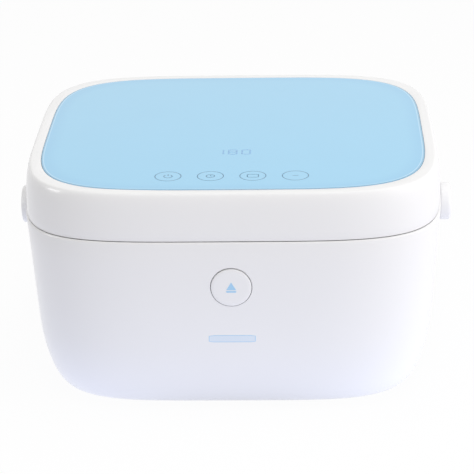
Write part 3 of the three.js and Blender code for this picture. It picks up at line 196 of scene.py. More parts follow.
def activate(thing):
    deselectAll()
    thing.select_set(True)
    bpy.context.view_layer.objects.active = thing
    return thing


def editAll(thing):
    activate(thing)
    bpy.ops.object.mode_set(mode="EDIT")
    bpy.ops.mesh.select_all(action="SELECT")


def leaveEdit():
    bpy.ops.object.mode_set(mode="OBJECT")


def applyPlace(thing):
    activate(thing)
    bpy.ops.object.transform_apply(location=True, rotation=True, scale=True)
    return thing


# Turns the faces of the mesh that is being edited outwards.
def faceOutwards():
    bpy.ops.mesh.select_all(action="SELECT")
    bpy.ops.mesh.normals_make_consistent(inside=False)
    leaveEdit()


def applyModifier(thing, kind, **settings):
    activate(thing)
    modifier = thing.modifiers.new(kind.lower(), kind)
    for key, value in settings.items():
        setattr(modifier, key, value)
    bpy.ops.object.modifier_apply(modifier=modifier.name)


def combine(thing, other, operation):
    applyModifier(thing, "BOOLEAN", operation=operation, object=other, solver="EXACT")
    bpy.data.objects.remove(other)
    return thing


def cutAway(thing, *cutters):
    for cutter in cutters:
        combine(thing, cutter, "DIFFERENCE")
    return thing


def fuse(thing, *others):
    for other in others:
        combine(thing, other, "UNION")
    return thing


def smoothFaces(thing, degrees=smoothDegrees):
    activate(thing)
    bpy.ops.object.shade_smooth_by_angle(angle=math.radians(degrees))


# Gives a piece its material, body and slot, and the frame's nodes that it stands for.
def handOver(thing, body, material, replaced=()):
    thing.data.materials.clear()
    thing.data.materials.append(material)
    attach(thing, body)
    if replaced:
        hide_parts(*replaced)
    return thing


# Puts a piece that was modelled in millimetres into the frame, and hands it over.
def settlePiece(thing, name, body, material, replaced=(), degrees=smoothDegrees):
    editAll(thing)
    bpy.ops.mesh.remove_doubles(threshold=mergeGap)
    faceOutwards()
    thing.name = name
    thing.data.name = name
    thing.scale = (millimetre,) * 3
    thing.location = caseOrigin
    smoothFaces(applyPlace(thing), degrees)
    return handOver(thing, body, material, replaced)


# The same for a piece that stands for a node, which gives its body, slot and material.
def settleNode(thing, name, node, degrees=smoothDegrees):
    slot = slotOfNode[node]
    return settlePiece(thing, name, bodyOfNode[node], looks[slot], (node,), degrees)


bodies = frame["record"]["behaviour"]["bodies"]
bodyOfNode = {node: body for body, members in bodies.items() for node in members}
slotOfNode = {row["node"]: row["material_slot"] for row in frame["record"]["subparts"]}


# A node's lowest and highest corner, in millimetres from the middle of the case's underside.
def nodeBox(node):
    return [[(a - b) / millimetre for a, b in zip(corner, caseOrigin)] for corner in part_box(node)]


dressShape = {
    "merge": 0.00001, "flatDegrees": 0.5, "edge": 0.2, "segments": 2, "bevelDegrees": 40, "weight": 100,
}


# A copy of a frame node with merged faces, small rounds on its edges and smooth shading.
def dressNode(node):
    d = dressShape
    thing = addObject(node + "_fine", frame["nodes"][node].data.copy())
    editAll(thing)
    bpy.ops.mesh.remove_doubles(threshold=d["merge"])
    bpy.ops.mesh.dissolve_limited(angle_limit=math.radians(d["flatDegrees"]))
    leaveEdit()
    applyModifier(thing, "BEVEL", width=d["edge"] * millimetre, segments=d["segments"], limit_method="ANGLE",
                  angle_limit=math.radians(d["bevelDegrees"]), use_clamp_overlap=True)
    smoothFaces(thing)
    applyModifier(thing, "WEIGHTED_NORMAL", keep_sharp=True, weight=d["weight"])
    slot = slotOfNode[node]
    return handOver(thing, bodyOfNode[node], looks[slot], (node,))


# A shader group. An input's kind follows from its value, and outputs are colours or floats.
def newGroup(name, inputs, outputs):
    group = bpy.data.node_groups.new(name, "ShaderNodeTree")
    for socketName, value in inputs.items():
        kind = {3: "Vector", 4: "Color"}[len(value)] if isinstance(value, tuple) else "Float"
        socket = group.interface.new_socket(socketName, in_out="INPUT", socket_type="NodeSocket" + kind)
        socket.default_value = value
    for socketName in outputs:
        kind = "Color" if socketName == "Color" else "Float"
        group.interface.new_socket(socketName, in_out="OUTPUT", socket_type="NodeSocket" + kind)
    place = group.nodes.new("ShaderNodeTexCoord").outputs["Object"]
    return group, group.nodes.new("NodeGroupInput").outputs, group.nodes.new("NodeGroupOutput").inputs, place


# Gives a socket its value, or links it where the value is another node's socket.
def feed(tree, socket, value):
    if isinstance(value, bpy.types.NodeSocket):
        tree.links.new(value, socket)
    else:
        socket.default_value = value


def addNode(tree, kind, settings=None, values=None):
    node = tree.nodes.new(kind)
    for key, value in (settings or {}).items():
        setattr(node, key, value)
    for key, value in (values or {}).items():
        feed(tree, node.inputs[key], value)
    return node


def mixColors(tree, blend, amount, first, second):
    settings = {"data_type": "RGBA", "blend_type": blend}
    return addNode(tree, "ShaderNodeMix", settings, {0: amount, 6: first, 7: second}).outputs[2]


def calculate(tree, operation, first, second=0.0):
    return addNode(tree, "ShaderNodeMath", {"operation": operation}, {0: first, 1: second}).outputs[0]


def addNoise(tree, place, scale, **values):
    values = {"Vector": place, "Scale": scale, **values}
    return addNode(tree, "ShaderNodeTexNoise", values=values).outputs["Fac"]


# A base value that a noise sways up and down.
def sway(tree, noise, amount, base):
    part = calculate(tree, "SUBTRACT", noise, 0.5)
    return calculate(tree, "ADD", calculate(tree, "MULTIPLY", part, amount), base)


def shadeColor(tree, color, value):
    return addNode(tree, "ShaderNodeHueSaturation", values={"Color": color, "Value": value}).outputs["Color"]


# Moulded plastic: a faint cloudiness in the colour, a fine eroded grain and uneven gloss.
def mouldedSurface():
    group, given, made, place = newGroup(
        "mouldedSurface",
        {"Color": (0.8, 0.8, 0.8, 1), "Cloud": 0.02, "Grain Scale": 2500, "Gloss Spread": 0.05,
         "Roughness": 0.3},
        ("Color", "Roughness", "Height"))
    cloud = addNoise(group, place, 22, Detail=4)
    grain = addNoise(group, place, given["Grain Scale"], Detail=3, Roughness=0.6)
    wipe = addNoise(group, place, 60, Detail=5, Distortion=0.4)
    feed(group, made["Color"], shadeColor(group, given["Color"], sway(group, cloud, given["Cloud"], 1.0)))
    feed(group, made["Roughness"], sway(group, wipe, given["Gloss Spread"], given["Roughness"]))
    feed(group, made["Height"], grain)
    return group


# Drawn or rolled metal: fine lines along one direction.
def brushedSurface():
    group, given, made, place = newGroup(
        "brushedSurface",
        {"Color": (0.6, 0.6, 0.6, 1), "Stretch": (40, 2500, 2500), "Contrast": 0.2, "Roughness": 0.25},
        ("Color", "Roughness", "Height"))
    stretch = addNode(group, "ShaderNodeVectorMath", {"operation": "MULTIPLY"},
                      {0: place, 1: given["Stretch"]})
    lines = addNoise(group, stretch.outputs[0], 1, Detail=4, Roughness=0.7)
    cloud = addNoise(group, place, 45, Detail=3)
    dull = calculate(group, "ADD", calculate(group, "MULTIPLY", cloud, 0.12), given["Roughness"])
    feed(group, made["Color"], shadeColor(group, given["Color"], sway(group, lines, given["Contrast"], 1.0)))
    feed(group, made["Roughness"], sway(group, lines, given["Contrast"], dull))
    feed(group, made["Height"], lines)
    return group


# A border mask: 1 along the edge of a superellipse, and 0 well inside it.
def borderMask():
    group, given, made, place = newGroup(
        "borderMask",
        {"Half X": 0.1, "Half Y": 0.1, "Middle Y": 0.0, "Exponent": 4.0, "Start": 0.9, "End": 1.0}, ("Mask",))
    split = addNode(group, "ShaderNodeSeparateXYZ", values={0: place})
    aside = calculate(group, "DIVIDE", split.outputs["X"], given["Half X"])
    along = calculate(group, "SUBTRACT", split.outputs["Y"], given["Middle Y"])
    along = calculate(group, "DIVIDE", along, given["Half Y"])
    aside, along = (calculate(group, "POWER", calculate(group, "ABSOLUTE", part), given["Exponent"])
                    for part in (aside, along))
    reach = calculate(group, "ADD", aside, along)
    reach = calculate(group, "POWER", reach, calculate(group, "DIVIDE", 1.0, given["Exponent"]))
    rise = addNode(group, "ShaderNodeMapRange", {"interpolation_type": "SMOOTHSTEP"}, {
        "Value": reach, "From Min": given["Start"], "From Max": given["End"]})
    feed(group, made["Mask"], rise.outputs[0])
    return group


moulded = mouldedSurface()
border = borderMask()
brushed = brushedSurface()


def addGroup(tree, group, values):
    return addNode(tree, "ShaderNodeGroup", {"node_tree": group}, values).outputs


# A material whose colour, roughness and bump come from one of the surface groups.
def surfaceMaterial(name, group, values, depth, strength, **sockets):
    material = bpy.data.materials.new(name)
    material.use_nodes = True
    tree = material.node_tree
    surface = addGroup(tree, group, values)
    bump = addNode(tree, "ShaderNodeBump", values={
        "Strength": strength, "Distance": depth, "Height": surface["Height"]})
    sockets = {"Base_Color": surface["Color"], **sockets, "Roughness": surface["Roughness"],
               "Normal": bump.outputs["Normal"]}
    for key, value in sockets.items():
        feed(tree, tree.nodes["Principled BSDF"].inputs[key.replace("_", " ")], value)
    return material


bumpStrength = {"plastic": 0.25, "metal": 0.3, "glass": 0.1}


def plasticMaterial(name, color, roughness, cloud=0.1, grain=2500, depth=0.000004, **sockets):
    values = {"Color": (*color, 1), "Cloud": cloud, "Grain Scale": grain, "Roughness": roughness}
    return surfaceMaterial(name, moulded, values, depth, bumpStrength["plastic"], **sockets)


def metalMaterial(name, color, roughness, stretch, contrast=0.2, depth=0.000004):
    values = {"Color": (*color, 1), "Stretch": stretch, "Contrast": contrast, "Roughness": roughness}
    return surfaceMaterial(name, brushed, values, depth, bumpStrength["metal"], Metallic=1.0)


# Paints light and shade into a plastic's colour towards its edge: painted shade and a painted highlight
# line. Each band has its amount, its colour, and where it starts and ends in shares of the reach.
def paintEdgeLight(material, halfX, halfY, exponent, paintedLightBands):
    tree = material.node_tree
    shader = tree.nodes["Principled BSDF"]
    color = shader.inputs["Base Color"].links[0].from_socket
    for amount, paintedTone, start, end in paintedLightBands:
        mask = addGroup(tree, border, {
            "Half X": halfX * millimetre, "Half Y": halfY * millimetre, "Middle Y": caseOrigin.y,
            "Exponent": exponent, "Start": start, "End": end})
        share = calculate(tree, "MULTIPLY", mask["Mask"], amount)
        # mixes the painted shade or painted highlight into the colour
        color = mixColors(tree, "MIX", share, color, (*paintedTone, 1))
    feed(tree, shader.inputs["Base Color"], color)


housingWhite = plasticMaterial("housingWhite", (0.8, 0.8, 0.808), 0.3, 0.02, 2500, 0.00001,
                               Coat_Weight=0.35, Coat_Roughness=0.12)
panelBlue = plasticMaterial("panelBlue", (0.23, 0.55, 0.79), 0.16, 0.03, 1200,
                            Coat_Weight=0.6, Coat_Roughness=0.05)
frameGrey = plasticMaterial("frameGrey", (0.42, 0.45, 0.47), 0.55, 0.05, 1800, 0.00003)
siliconeGrey = plasticMaterial("siliconeGrey", (0.6, 0.61, 0.62), 0.62, 0.06, 1500, 0.00002,
                               Subsurface_Weight=0.15, Subsurface_Scale=0.004)
footRubber = plasticMaterial("footRubber", (0.09, 0.095, 0.1), 0.8, 0.2, 1600, 0.00005)
darkPlastic = plasticMaterial("darkPlastic", (0.03, 0.031, 0.033), 0.42, 0.15, 1800, 0.00003)
boardGreen = plasticMaterial("boardGreen", (0.03, 0.17, 0.07), 0.38, 0.2, 900, 0.00002)
lampWhite = plasticMaterial("lampWhite", (0.78, 0.78, 0.74), 0.45, 0.05, 1200, 0.00002)
diodeCeramic = plasticMaterial("diodeCeramic", (0.7, 0.68, 0.6), 0.5, 0.06, 2000, 0.00001)
diodeLens = plasticMaterial("diodeLens", (0.12, 0.1, 0.25), 0.12, 0.2, 1500, 0.000005, Coat_Weight=0.8)
inkSlate = plasticMaterial("inkSlate", (0.05, 0.16, 0.27), 0.3)
inkPale = plasticMaterial("inkPale", (0.2, 0.4, 0.66), 0.3)
inkSky = plasticMaterial("inkSky", (0.36, 0.6, 0.82), 0.35)
labelTint = plasticMaterial("labelTint", (0.66, 0.74, 0.83), 0.35, 0.04)
steel = metalMaterial("drawnSteel", (0.62, 0.63, 0.65), 0.2, (60, 2500, 2500))
springSteel = metalMaterial("springSteel", (0.42, 0.43, 0.45), 0.28, (900, 900, 900))
mirrorSheet = metalMaterial("mirrorSheet", (0.78, 0.79, 0.8), 0.13, (20, 900, 900), 0.06, 0.000002)
tinnedCopper = metalMaterial("tinnedCopper", (0.66, 0.6, 0.5), 0.3, (500, 500, 500))


# Glass keeps a plain colour of its own.
clearGlass = (0.93, 0.97, 1, 1)
quartzGlass = surfaceMaterial(
    "quartzGlass", moulded, {"Color": clearGlass, "Cloud": 0.01, "Grain Scale": 300, "Gloss Spread": 0.04,
                             "Roughness": 0.04},
    0.000002, bumpStrength["glass"], Base_Color=clearGlass, Transmission_Weight=1.0, IOR=1.46)
print("materials made")

looks = {
    "white_plastic": housingWhite, "blue_panel": panelBlue, "grey_plastic": frameGrey,
    "silicone": siliconeGrey, "rubber": footRubber, "steel": steel, "reflector": mirrorSheet,
    "spring_steel": springSteel, "lamp_glass": quartzGlass, "circuit_board": boardGreen,
    "lamp_board": lampWhite, "dark_plastic": darkPlastic,
}
for node, thing in frame["nodes"].items():
    thing.data.materials.clear()
    thing.data.materials.append(looks[slotOfNode[node]])

# The case's own measures, which most of the other pieces use.
caseShape = {
    "halfWidth": 165, "halfDepth": 150, "seam": 145, "seamGap": 0.8, "sideDraft": 0.066, "frontDraft": 0.058,
    "roundHeight": 58, "roundInset": 16, "roundPower": 1.5, "wall": 2.8, "rimWall": 1.6, "edge": 1.6,
    "exponent": 4.6, "steps": 200, "roundSteps": 18, "edgeSteps": 4,
    "coverInset": 9, "coverRebate": 3, "rimInset": 17, "rimHeight": 6, "rimBreak": 0.3,
    "levelGap": 0.4, "rimGap": 1,  # how close a level may come to the lowest one and to the rim
    "wallShares": (0.25, 0.5, 0.75),  # where the straight wall's levels lie
}
caseTop = caseShape["seam"] - caseShape["seamGap"] / 2
deckShape = {"drop": 1.5, "thickness": 3, "slotHalf": 9.5, "slotFront": 127.5, "slotRear": 119.5}
deckTop = caseTop - deckShape["drop"] + fit
deckLow = deckTop - deckShape["thickness"]


# How far out the rounded-square plan lies along a direction.
def planReach(x, y, halfX, halfY, exponent):
    return (abs(x / halfX) ** exponent + abs(y / halfY) ** exponent) ** (-1 / exponent)


# A level loop on that plan, as points.
def planRun(halfX, halfY, exponent, steps, place=(0, 0, 0)):
    run = []
    for i in range(steps):
        turn = i / steps * 2 * math.pi
        x, y = math.cos(turn), math.sin(turn)
        reach = planReach(x, y, halfX, halfY, exponent)
        run.append((place[0] + x * reach, place[1] + y * reach, place[2]))
    return run


# A solid drawn up level by level from its foot: each is half width, half depth and height.
def loftPiece(levels, exponent=caseShape["exponent"], steps=caseShape["steps"], middleY=0.0):
    deselectAll()
    halfX, halfY, height = levels[0]
    bpy.ops.mesh.primitive_circle_add(vertices=steps, radius=1, location=(0, 0, 0))
    thing = bpy.context.object
    for vertex in thing.data.vertices:
        x, y = vertex.co.x, vertex.co.y
        reach = planReach(x, y, halfX, halfY, exponent)
        vertex.co = (x * reach, y * reach + middleY, height)
    editAll(thing)
    for wide, deep, high in levels[1:]:
        bpy.ops.mesh.extrude_region_move(TRANSFORM_OT_translate={"value": (0, 0, high - height)})
        bpy.ops.transform.resize(value=(wide / halfX, deep / halfY, 1), center_override=(0, middleY, high))
        halfX, halfY, height = wide, deep, high
    bpy.ops.mesh.edge_face_add()  # closes the upper end, and then the foot
    bpy.ops.mesh.select_all(action="DESELECT")
    bpy.ops.mesh.select_non_manifold(extend=False)
    bpy.ops.mesh.edge_face_add()
    faceOutwards()
    return thing


# A loft whose rows say how far each level stands in from a plan, and its height.
def insetPiece(halfX, halfY, rows, exponent=caseShape["exponent"], steps=caseShape["steps"], middleY=0.0):
    levels = [(halfX - inset, halfY - inset, height) for inset, height in rows]
    return loftPiece(levels, exponent, steps, middleY)


def platePiece(halfX, halfY, low, high, edge=0.0, middleY=0.0, exponent=caseShape["exponent"],
               steps=caseShape["steps"]):
    rows = [(0, low + edge), (0, high - edge)]
    if edge:
        rows = [(edge, low), *rows, (edge, high)]
    return insetPiece(halfX, halfY, rows, exponent, steps, middleY)


# A turned piece from radius and height pairs, laid along an axis.
def turnedPiece(profile, steps=64, axis="z", place=(0, 0, 0), sign=1):
    thing = loftPiece([(radius, radius, height) for radius, height in profile], 2, steps)
    if axis == "x":
        thing.rotation_euler = (0, sign * math.pi / 2, 0)
    elif axis == "y":
        thing.rotation_euler = (-sign * math.pi / 2, 0, 0)
    thing.location = place
    return applyPlace(thing)


def rod(axis, radius, start, end, place, steps=48):
    return turnedPiece([(radius, start), (radius, end)], steps, axis, place)


def brick(low, high):
    deselectAll()
    middle = [(a + b) / 2 for a, b in zip(low, high)]
    bpy.ops.mesh.primitive_cube_add(size=1, location=middle, scale=[b - a for a, b in zip(low, high)])
    return applyPlace(bpy.context.object)


# The steps of a rounded edge: how far each stands in, and how far it lies below the top.
def edgeRound(edge, steps):
    turns = [i / steps * math.pi / 2 for i in range(steps + 1)]
    return [(edge * (1 - math.cos(turn)), edge * (1 - math.sin(turn))) for turn in turns]


def roundedEnd(radius, height, edge, steps):
    return [(radius - inset, height - drop) for inset, drop in edgeRound(edge, steps)]


def caseInset(height, draft):
    below = max(0, 1 - height / caseShape["roundHeight"])
    curve = caseShape["roundInset"] * (1 - math.sqrt(1 - below * below))
    return draft * (caseShape["seam"] - height) + curve


def caseLevel(height, offset):
    c = caseShape
    return (c["halfWidth"] - caseInset(height, c["sideDraft"]) - offset,
            c["halfDepth"] - caseInset(height, c["frontDraft"]) - offset, height)


# How far forward or back the case's plan lies at a place across it.
def caseReach(x, height, offset=0.0):
    halfX, halfY, _ = caseLevel(height, offset)
    return halfY * (1 - abs(x / halfX) ** caseShape["exponent"]) ** (1 / caseShape["exponent"])


# The heights of the wall's levels, close together in the round at the foot.
def wallHeights(low, high):
    c = caseShape
    steps = range(1, c["roundSteps"] + 1)
    heights = [c["roundHeight"] * (i / c["roundSteps"]) ** c["roundPower"] for i in steps]
    heights += [c["roundHeight"] + (c["seam"] - c["roundHeight"]) * share for share in c["wallShares"]]
    return [low] + [height for height in heights if low + c["levelGap"] < height < high - c["rimGap"]]


# The case's outside, with a round at its upper edge.
def caseForm():
    levels = [caseLevel(height, 0) for height in wallHeights(0, caseTop)]
    for inset, drop in edgeRound(caseShape["edge"], caseShape["edgeSteps"]):
        levels.append((*caseLevel(caseTop, inset)[:2], caseTop - drop))
    return loftPiece(levels)


hubShape = {
    "height": 119, "radius": 15.5, "face": 176.5, "back": 167.2, "round": 2.6, "roundSteps": 6, "steps": 96,
    "bore": 4.2, "boss": 10, "capRadius": 12.4, "capHeight": 1.2, "headRadius": 6.5, "headDepth": 1.6,
}
buttonShape = {
    "height": 106.5, "hole": 16, "gap": 0.4, "proud": 0.4, "face": 3, "skirt": 2, "guideWall": 2.2,
    "guideRear": 139, "flangeLip": 1.6, "flange": 1.5, "stem": 3, "stemEnd": 19, "tip": 1.2, "tipLength": 2.5,
    "edge": 0.5, "core": 4, "steps": 96, "rings": (0.05, 3, 6, 9, 12), "skin": 0.01,
    # the hole's chamfer: its width, where it starts and ends behind the wall's middle, its flare
    "chamfer": 0.25, "chamferStart": 1.1, "chamferEnd": 1.4, "flare": 6,
}
inletShape = {"side": 62, "height": 40, "flange": 6.4, "pocket": 0.6, "barrel": 4.8}


def modelCase():
    c, b, h, jack = caseShape, buttonShape, hubShape, inletShape
    halfX, halfY, _ = caseLevel(0, 0)
    ledge = deckLow - fit
    under = ((c["coverInset"], -overrun), (c["coverInset"], c["coverRebate"]),
             (c["rimInset"], c["coverRebate"]), (c["rimInset"], c["rimHeight"]))
    inside = [(height, c["wall"]) for height in wallHeights(c["rimHeight"], ledge)]
    inside += [(ledge, c["wall"]), (ledge, c["rimWall"]), (caseTop - c["rimBreak"], c["rimWall"]),
               (caseTop, c["rimWall"] - c["rimBreak"]), (caseTop + overrun, c["rimWall"] - c["rimBreak"])]
    levels = [(halfX - inset, halfY - inset, height) for inset, height in under]
    levels += [caseLevel(height, offset) for height, offset in inside]
    case = cutAway(caseForm(), loftPiece(levels))
    root = caseLevel(b["height"], c["wall"] / 2)[1]
    fuse(case, rod("y", b["hole"] + b["guideWall"], -root, -b["guideRear"], (0, 0, b["height"]), b["steps"]))
    bossRoot = caseLevel(h["height"], c["wall"] / 2)[0]
    for side in (-1, 1):
        ends = sorted((side * (h["back"] - fit), side * bossRoot))
        fuse(case, rod("x", h["boss"], *ends, (0, 0, h["height"]), rodSides))
        ends = sorted((side * h["face"], side * (bossRoot - 2 * overrun)))
        cutAway(case, rod("x", h["bore"], *ends, (0, 0, h["height"]), boreSides))
    profile = [(b["hole"] + b["flare"], -c["halfDepth"] - overrun),
               (b["hole"] + b["chamfer"], -root - b["chamferEnd"]), (b["hole"], -root - b["chamferStart"]),
               (b["hole"], -b["guideRear"] + overrun)]
    bore = turnedPiece(profile, b["steps"], "y", (0, 0, b["height"]))
    seat = caseReach(jack["side"] + jack["flange"], jack["height"] - jack["flange"], jack["pocket"])
    place = (jack["side"], 0, jack["height"])
    cutAway(case, bore, rod("y", jack["barrel"] + fit, seat - overrun, c["halfDepth"], place),
            rod("y", jack["flange"] + fit, seat, c["halfDepth"], place))
    return settleNode(case, "caseShell", "outer_case")


lidShape = {
    "height": 37.5, "runIn": 6, "exponent": 2.3, "sideSteps": 22, "wall": 2.6, "roof": 2.5, "lipDrop": 0.5,
    "windowHalf": 71, "windowDepth": 86, "windowFront": 46, "bossRadius": 3.8, "bossSpread": 62,
    "screwHole": 1.7, "barrelHalf": 20, "barrelRadius": 5, "pinRadius": 2.15,
    "tuck": 0.9,  # how far the lid's foot stands in from the case's edge
    "crownBreak": 0.8, "underRing": 2.3, "ring": 2.5, "hingeGap": 6.5,
}
panelShape = {
    "halfX": 152, "halfY": 137, "exponent": 4.4, "thickness": 3, "edge": 0.4, "edgeSteps": 4, "proud": 0.15,
    "lip": 0.25, "gap": 0.16,
    "paintedLightBands": (  # amount, colour, start and end of each band of painted light and shade towards the edge
        # painted shade: the panel grows darker towards its edge
        (0.35, (0.17, 0.45, 0.72), 0.9, 0.985),
        # painted highlight: a pale line where the edge would catch the light
        (0.5, (0.5, 0.76, 0.93), 0.984, 0.988),
        # painted shade: a dark line where the gap would shade the edge
        (0.9, (0.14, 0.36, 0.55), 0.99, 0.994),
    ),
}
lidLow = caseShape["seam"] + caseShape["seamGap"] / 2
lidTop = caseShape["seam"] + lidShape["height"]
recessFloor = lidTop - panelShape["thickness"] - fit
roofLow = recessFloor - lidShape["roof"]
ringLow = lidLow + lidShape["underRing"]
ringTop = ringLow + lidShape["ring"]
hingeY = caseShape["halfDepth"] + lidShape["hingeGap"]
hingeZ = caseShape["seam"]


def lidLevel(share, offset=0.0):
    quarter = share * math.pi / 2
    power = 2 / lidShape["exponent"]
    inset = lidShape["runIn"] * (1 - max(math.cos(quarter), 0) ** power) + offset
    rise = (lidTop - lidLow) * math.sin(quarter) ** power
    return (caseShape["halfWidth"] - inset, caseShape["halfDepth"] - inset, lidLow + rise)


# Where the lid's four screws and their bosses stand.
def lidPosts():
    row, spread = lidLevel(0, lidShape["wall"])[0] - lidShape["bossRadius"] - 2 * fit, lidShape["bossSpread"]
    return [(x, y, 0) for x in (-row, row) for y in (-spread, spread)]


def modelLid():
    s, p = lidShape, panelShape
    edge, tuck, foot = caseShape["edge"] / 2, s["tuck"], lidLow - s["lipDrop"]
    levels = []
    for inset, rise in ((edge, 0), (edge * softShare, edge * softShare), (0, edge)):
        levels.append((*lidLevel(0, inset + tuck)[:2], foot + rise))
    for i in range(2, s["sideSteps"] + 1):
        share = i / s["sideSteps"]
        levels.append(lidLevel(share, tuck * (1 - share)))
    wide, deep, high = levels[-1]
    levels.append((wide - s["crownBreak"], deep - s["crownBreak"], high))
    shell = loftPiece(levels)
    lip = p["lip"]
    walls = ((0, recessFloor), (0, lidTop - lip), (-lip * softShare, lidTop - lip * softShare),
             (-lip, lidTop), (-lip, lidTop + overrun))
    recess = insetPiece(p["halfX"] + p["gap"], p["halfY"] + p["gap"], walls, p["exponent"])
    inner, crown = lidLevel(0, s["wall"])[:2], lidLevel(1, s["wall"])[:2]
    cavity = loftPiece([(*inner, lidLow - overrun), (*inner, ringTop), (*crown, roofLow)])
    rear = -s["windowFront"]
    window = brick((-s["windowHalf"], rear - s["windowDepth"], roofLow - overrun),
                   (s["windowHalf"], rear, recessFloor + overrun))
    cutAway(shell, recess, cavity, window)
    half, radius, place = s["barrelHalf"], s["barrelRadius"], (0, hingeY, hingeZ)
    web = brick((-half, caseShape["halfDepth"] - s["wall"], lidLow), (half, hingeY, hingeZ + radius))
    fuse(shell, web, rod("x", radius, -half, half, place, rodSides))
    cutAway(shell, rod("x", s["pinRadius"], -3 * half, 3 * half, place, boreSides))
    for post in lidPosts():
        fuse(shell, rod("z", s["bossRadius"], ringTop + fit, roofLow + fit, post))
    return settleNode(shell, "lidShell", "lid_shell")


def modelPanel():
    p = panelShape
    high = lidTop + p["proud"]
    rows = [(inset, high - drop) for inset, drop in edgeRound(p["edge"], p["edgeSteps"])]
    rows = [(0, recessFloor + fit), *rows, (2 * p["edge"], high)]
    panel = insetPiece(p["halfX"], p["halfY"], rows, p["exponent"])
    # paints shade and a highlight line into the panel's colour along its edge
    paintEdgeLight(panelBlue, p["halfX"], p["halfY"], p["exponent"], p["paintedLightBands"])
    return settleNode(panel, "topPanel", "top_panel")


def modelButton():
    b = buttonShape
    radius, edge = b["hole"] - b["gap"], b["edge"]
    front, flangeFront = 0.0, caseShape["halfDepth"] - b["guideRear"] + fit
    flangeBack, coreFront = flangeFront + b["flange"], b["face"] + b["core"]
    profile = [(r, front) for r in b["rings"]]
    profile += [(radius - edge, front), (radius - edge * softShare, edge * softShare), (radius, edge),
                (radius, flangeFront)]
    profile += [(b["hole"] + b["flangeLip"], flangeFront), (b["hole"] + b["flangeLip"], flangeBack),
                (radius - b["skirt"], flangeBack), (radius - b["skirt"], coreFront), (b["stem"], coreFront),
                (b["stem"], b["stemEnd"] - b["tipLength"]), (b["tip"], b["stemEnd"])]
    cap = turnedPiece(profile, b["steps"], "y", (0, -caseShape["halfDepth"], b["height"]))
    for vertex in cap.data.vertices:
        depth = vertex.co.y + caseShape["halfDepth"]
        if depth < edge + b["skin"]:  # the face follows the case's front
            vertex.co.y = depth - caseReach(vertex.co.x, vertex.co.z, -b["proud"])
    return settleNode(cap, "openButton", "open_button")


handleShape = {
    "centre": 171.3, "backGap": 5.1, "corner": 36, "strap": 6, "width": 16, "round": 2, "roundSteps": 4,
    "tilt": -20, "cornerSteps": 20, "wellBreak": 0.3, "capEdge": 0.5, "capSteps": 4,
}


def modelHandle():
    s, h = handleShape, hubShape
    deselectAll()
    bpy.ops.mesh.primitive_plane_add(size=1, location=(s["centre"], 0, 0), rotation=(math.pi / 2, 0, 0),
                                     scale=(s["strap"], s["width"], 1))
    strap = applyPlace(bpy.context.object)
    for vertex in strap.data.vertices:
        vertex.co.x = s["centre"] + math.copysign(s["strap"] / 2, vertex.co.x - s["centre"])
        vertex.co.z = math.copysign(s["width"] / 2, vertex.co.z)
    editAll(strap)
    bpy.ops.mesh.bevel(offset=s["round"], segments=s["roundSteps"], affect="VERTICES")
    tilt = math.radians(s["tilt"])
    clear = caseShape["halfDepth"] + s["backGap"] - s["width"] / 2 * math.sin(tilt)
    run = clear / math.cos(tilt) + s["strap"] / 2 - s["corner"]
    turnX = s["centre"] - s["corner"]
    bpy.ops.mesh.extrude_region_move(TRANSFORM_OT_translate={"value": (0, run, 0)})
    bpy.ops.mesh.spin(steps=s["cornerSteps"], angle=-math.pi / 2, center=(turnX, run, 0), axis=(0, 0, 1))
    bpy.ops.mesh.extrude_region_move(TRANSFORM_OT_translate={"value": (-2 * turnX, 0, 0)})
    bpy.ops.mesh.spin(steps=s["cornerSteps"], angle=-math.pi / 2, center=(-turnX, run, 0), axis=(0, 0, 1))
    bpy.ops.mesh.extrude_region_move(TRANSFORM_OT_translate={"value": (0, -run, 0)})
    faceOutwards()
    capFloor = h["face"] - h["capHeight"] - fit
    headFloor = capFloor - h["headDepth"] - 2 * fit
    for side in (-1, 1):
        profile = [(h["radius"] - h["round"] / 2, h["back"]), (h["radius"], h["back"] + h["round"] / 2)]
        profile += roundedEnd(h["radius"], h["face"], h["round"], h["roundSteps"])
        fuse(strap, turnedPiece(profile, h["steps"], "x", (0, 0, 0), side))
    for side in (-1, 1):
        head, cap = h["headRadius"] + fit, h["capRadius"] + fit
        profile = [(h["bore"], h["back"] - overrun), (h["bore"], headFloor), (head, headFloor),
                   (head, capFloor), (cap, capFloor), (cap, h["face"] - s["wellBreak"]),
                   (cap + fit, h["face"]), (cap + fit, h["face"] + overrun)]
        cutAway(strap, turnedPiece(profile, h["steps"], "x", (0, 0, 0), side))
    layBack(strap)
    settleNode(strap, "carryHandle", "handle")
    for side, name in ((-1, "left"), (1, "right")):
        profile = [(h["capRadius"], h["face"] - h["capHeight"])]
        profile += roundedEnd(h["capRadius"], h["face"], s["capEdge"], s["capSteps"])
        profile.append((h["capRadius"] - 2 * s["capEdge"], h["face"]))
        cap = turnedPiece(profile, h["steps"], "x", (0, 0, 0), side)
        layBack(cap)
        settleNode(cap, "pivotCap_" + name, "pivot_cap_" + name)


# The handle is modelled level and then laid back to its place at rest.
def layBack(thing):
    thing.rotation_euler = (math.radians(handleShape["tilt"]), 0, 0)
    thing.location = (0, 0, hubShape["height"])
    applyPlace(thing)


linerShape = {
    "halfX": 144, "halfY": 114, "setBack": 4, "floor": 22, "sheet": 1, "draft": 0.05, "round": 14,
    "inset": 12, "steps": 10, "power": 1.5, "fill": 3, "flange": 7, "slotHalfX": 93, "slotHalfY": 15,
    "ringSteps": 160, "wallShares": (0.33, 0.67, 1),
}
flangeLow = deckTop + fit
flangeTop = flangeLow + linerShape["sheet"]


# A loft on the chamber's plan; its rows say how far each level stands in, and its height.
def chamberPiece(*rows):
    s = linerShape
    return insetPiece(s["halfX"], s["halfY"], rows, steps=s["ringSteps"], middleY=s["setBack"])


def chamberPlate(inset, low, high):
    return chamberPiece((inset, low), (inset, high))


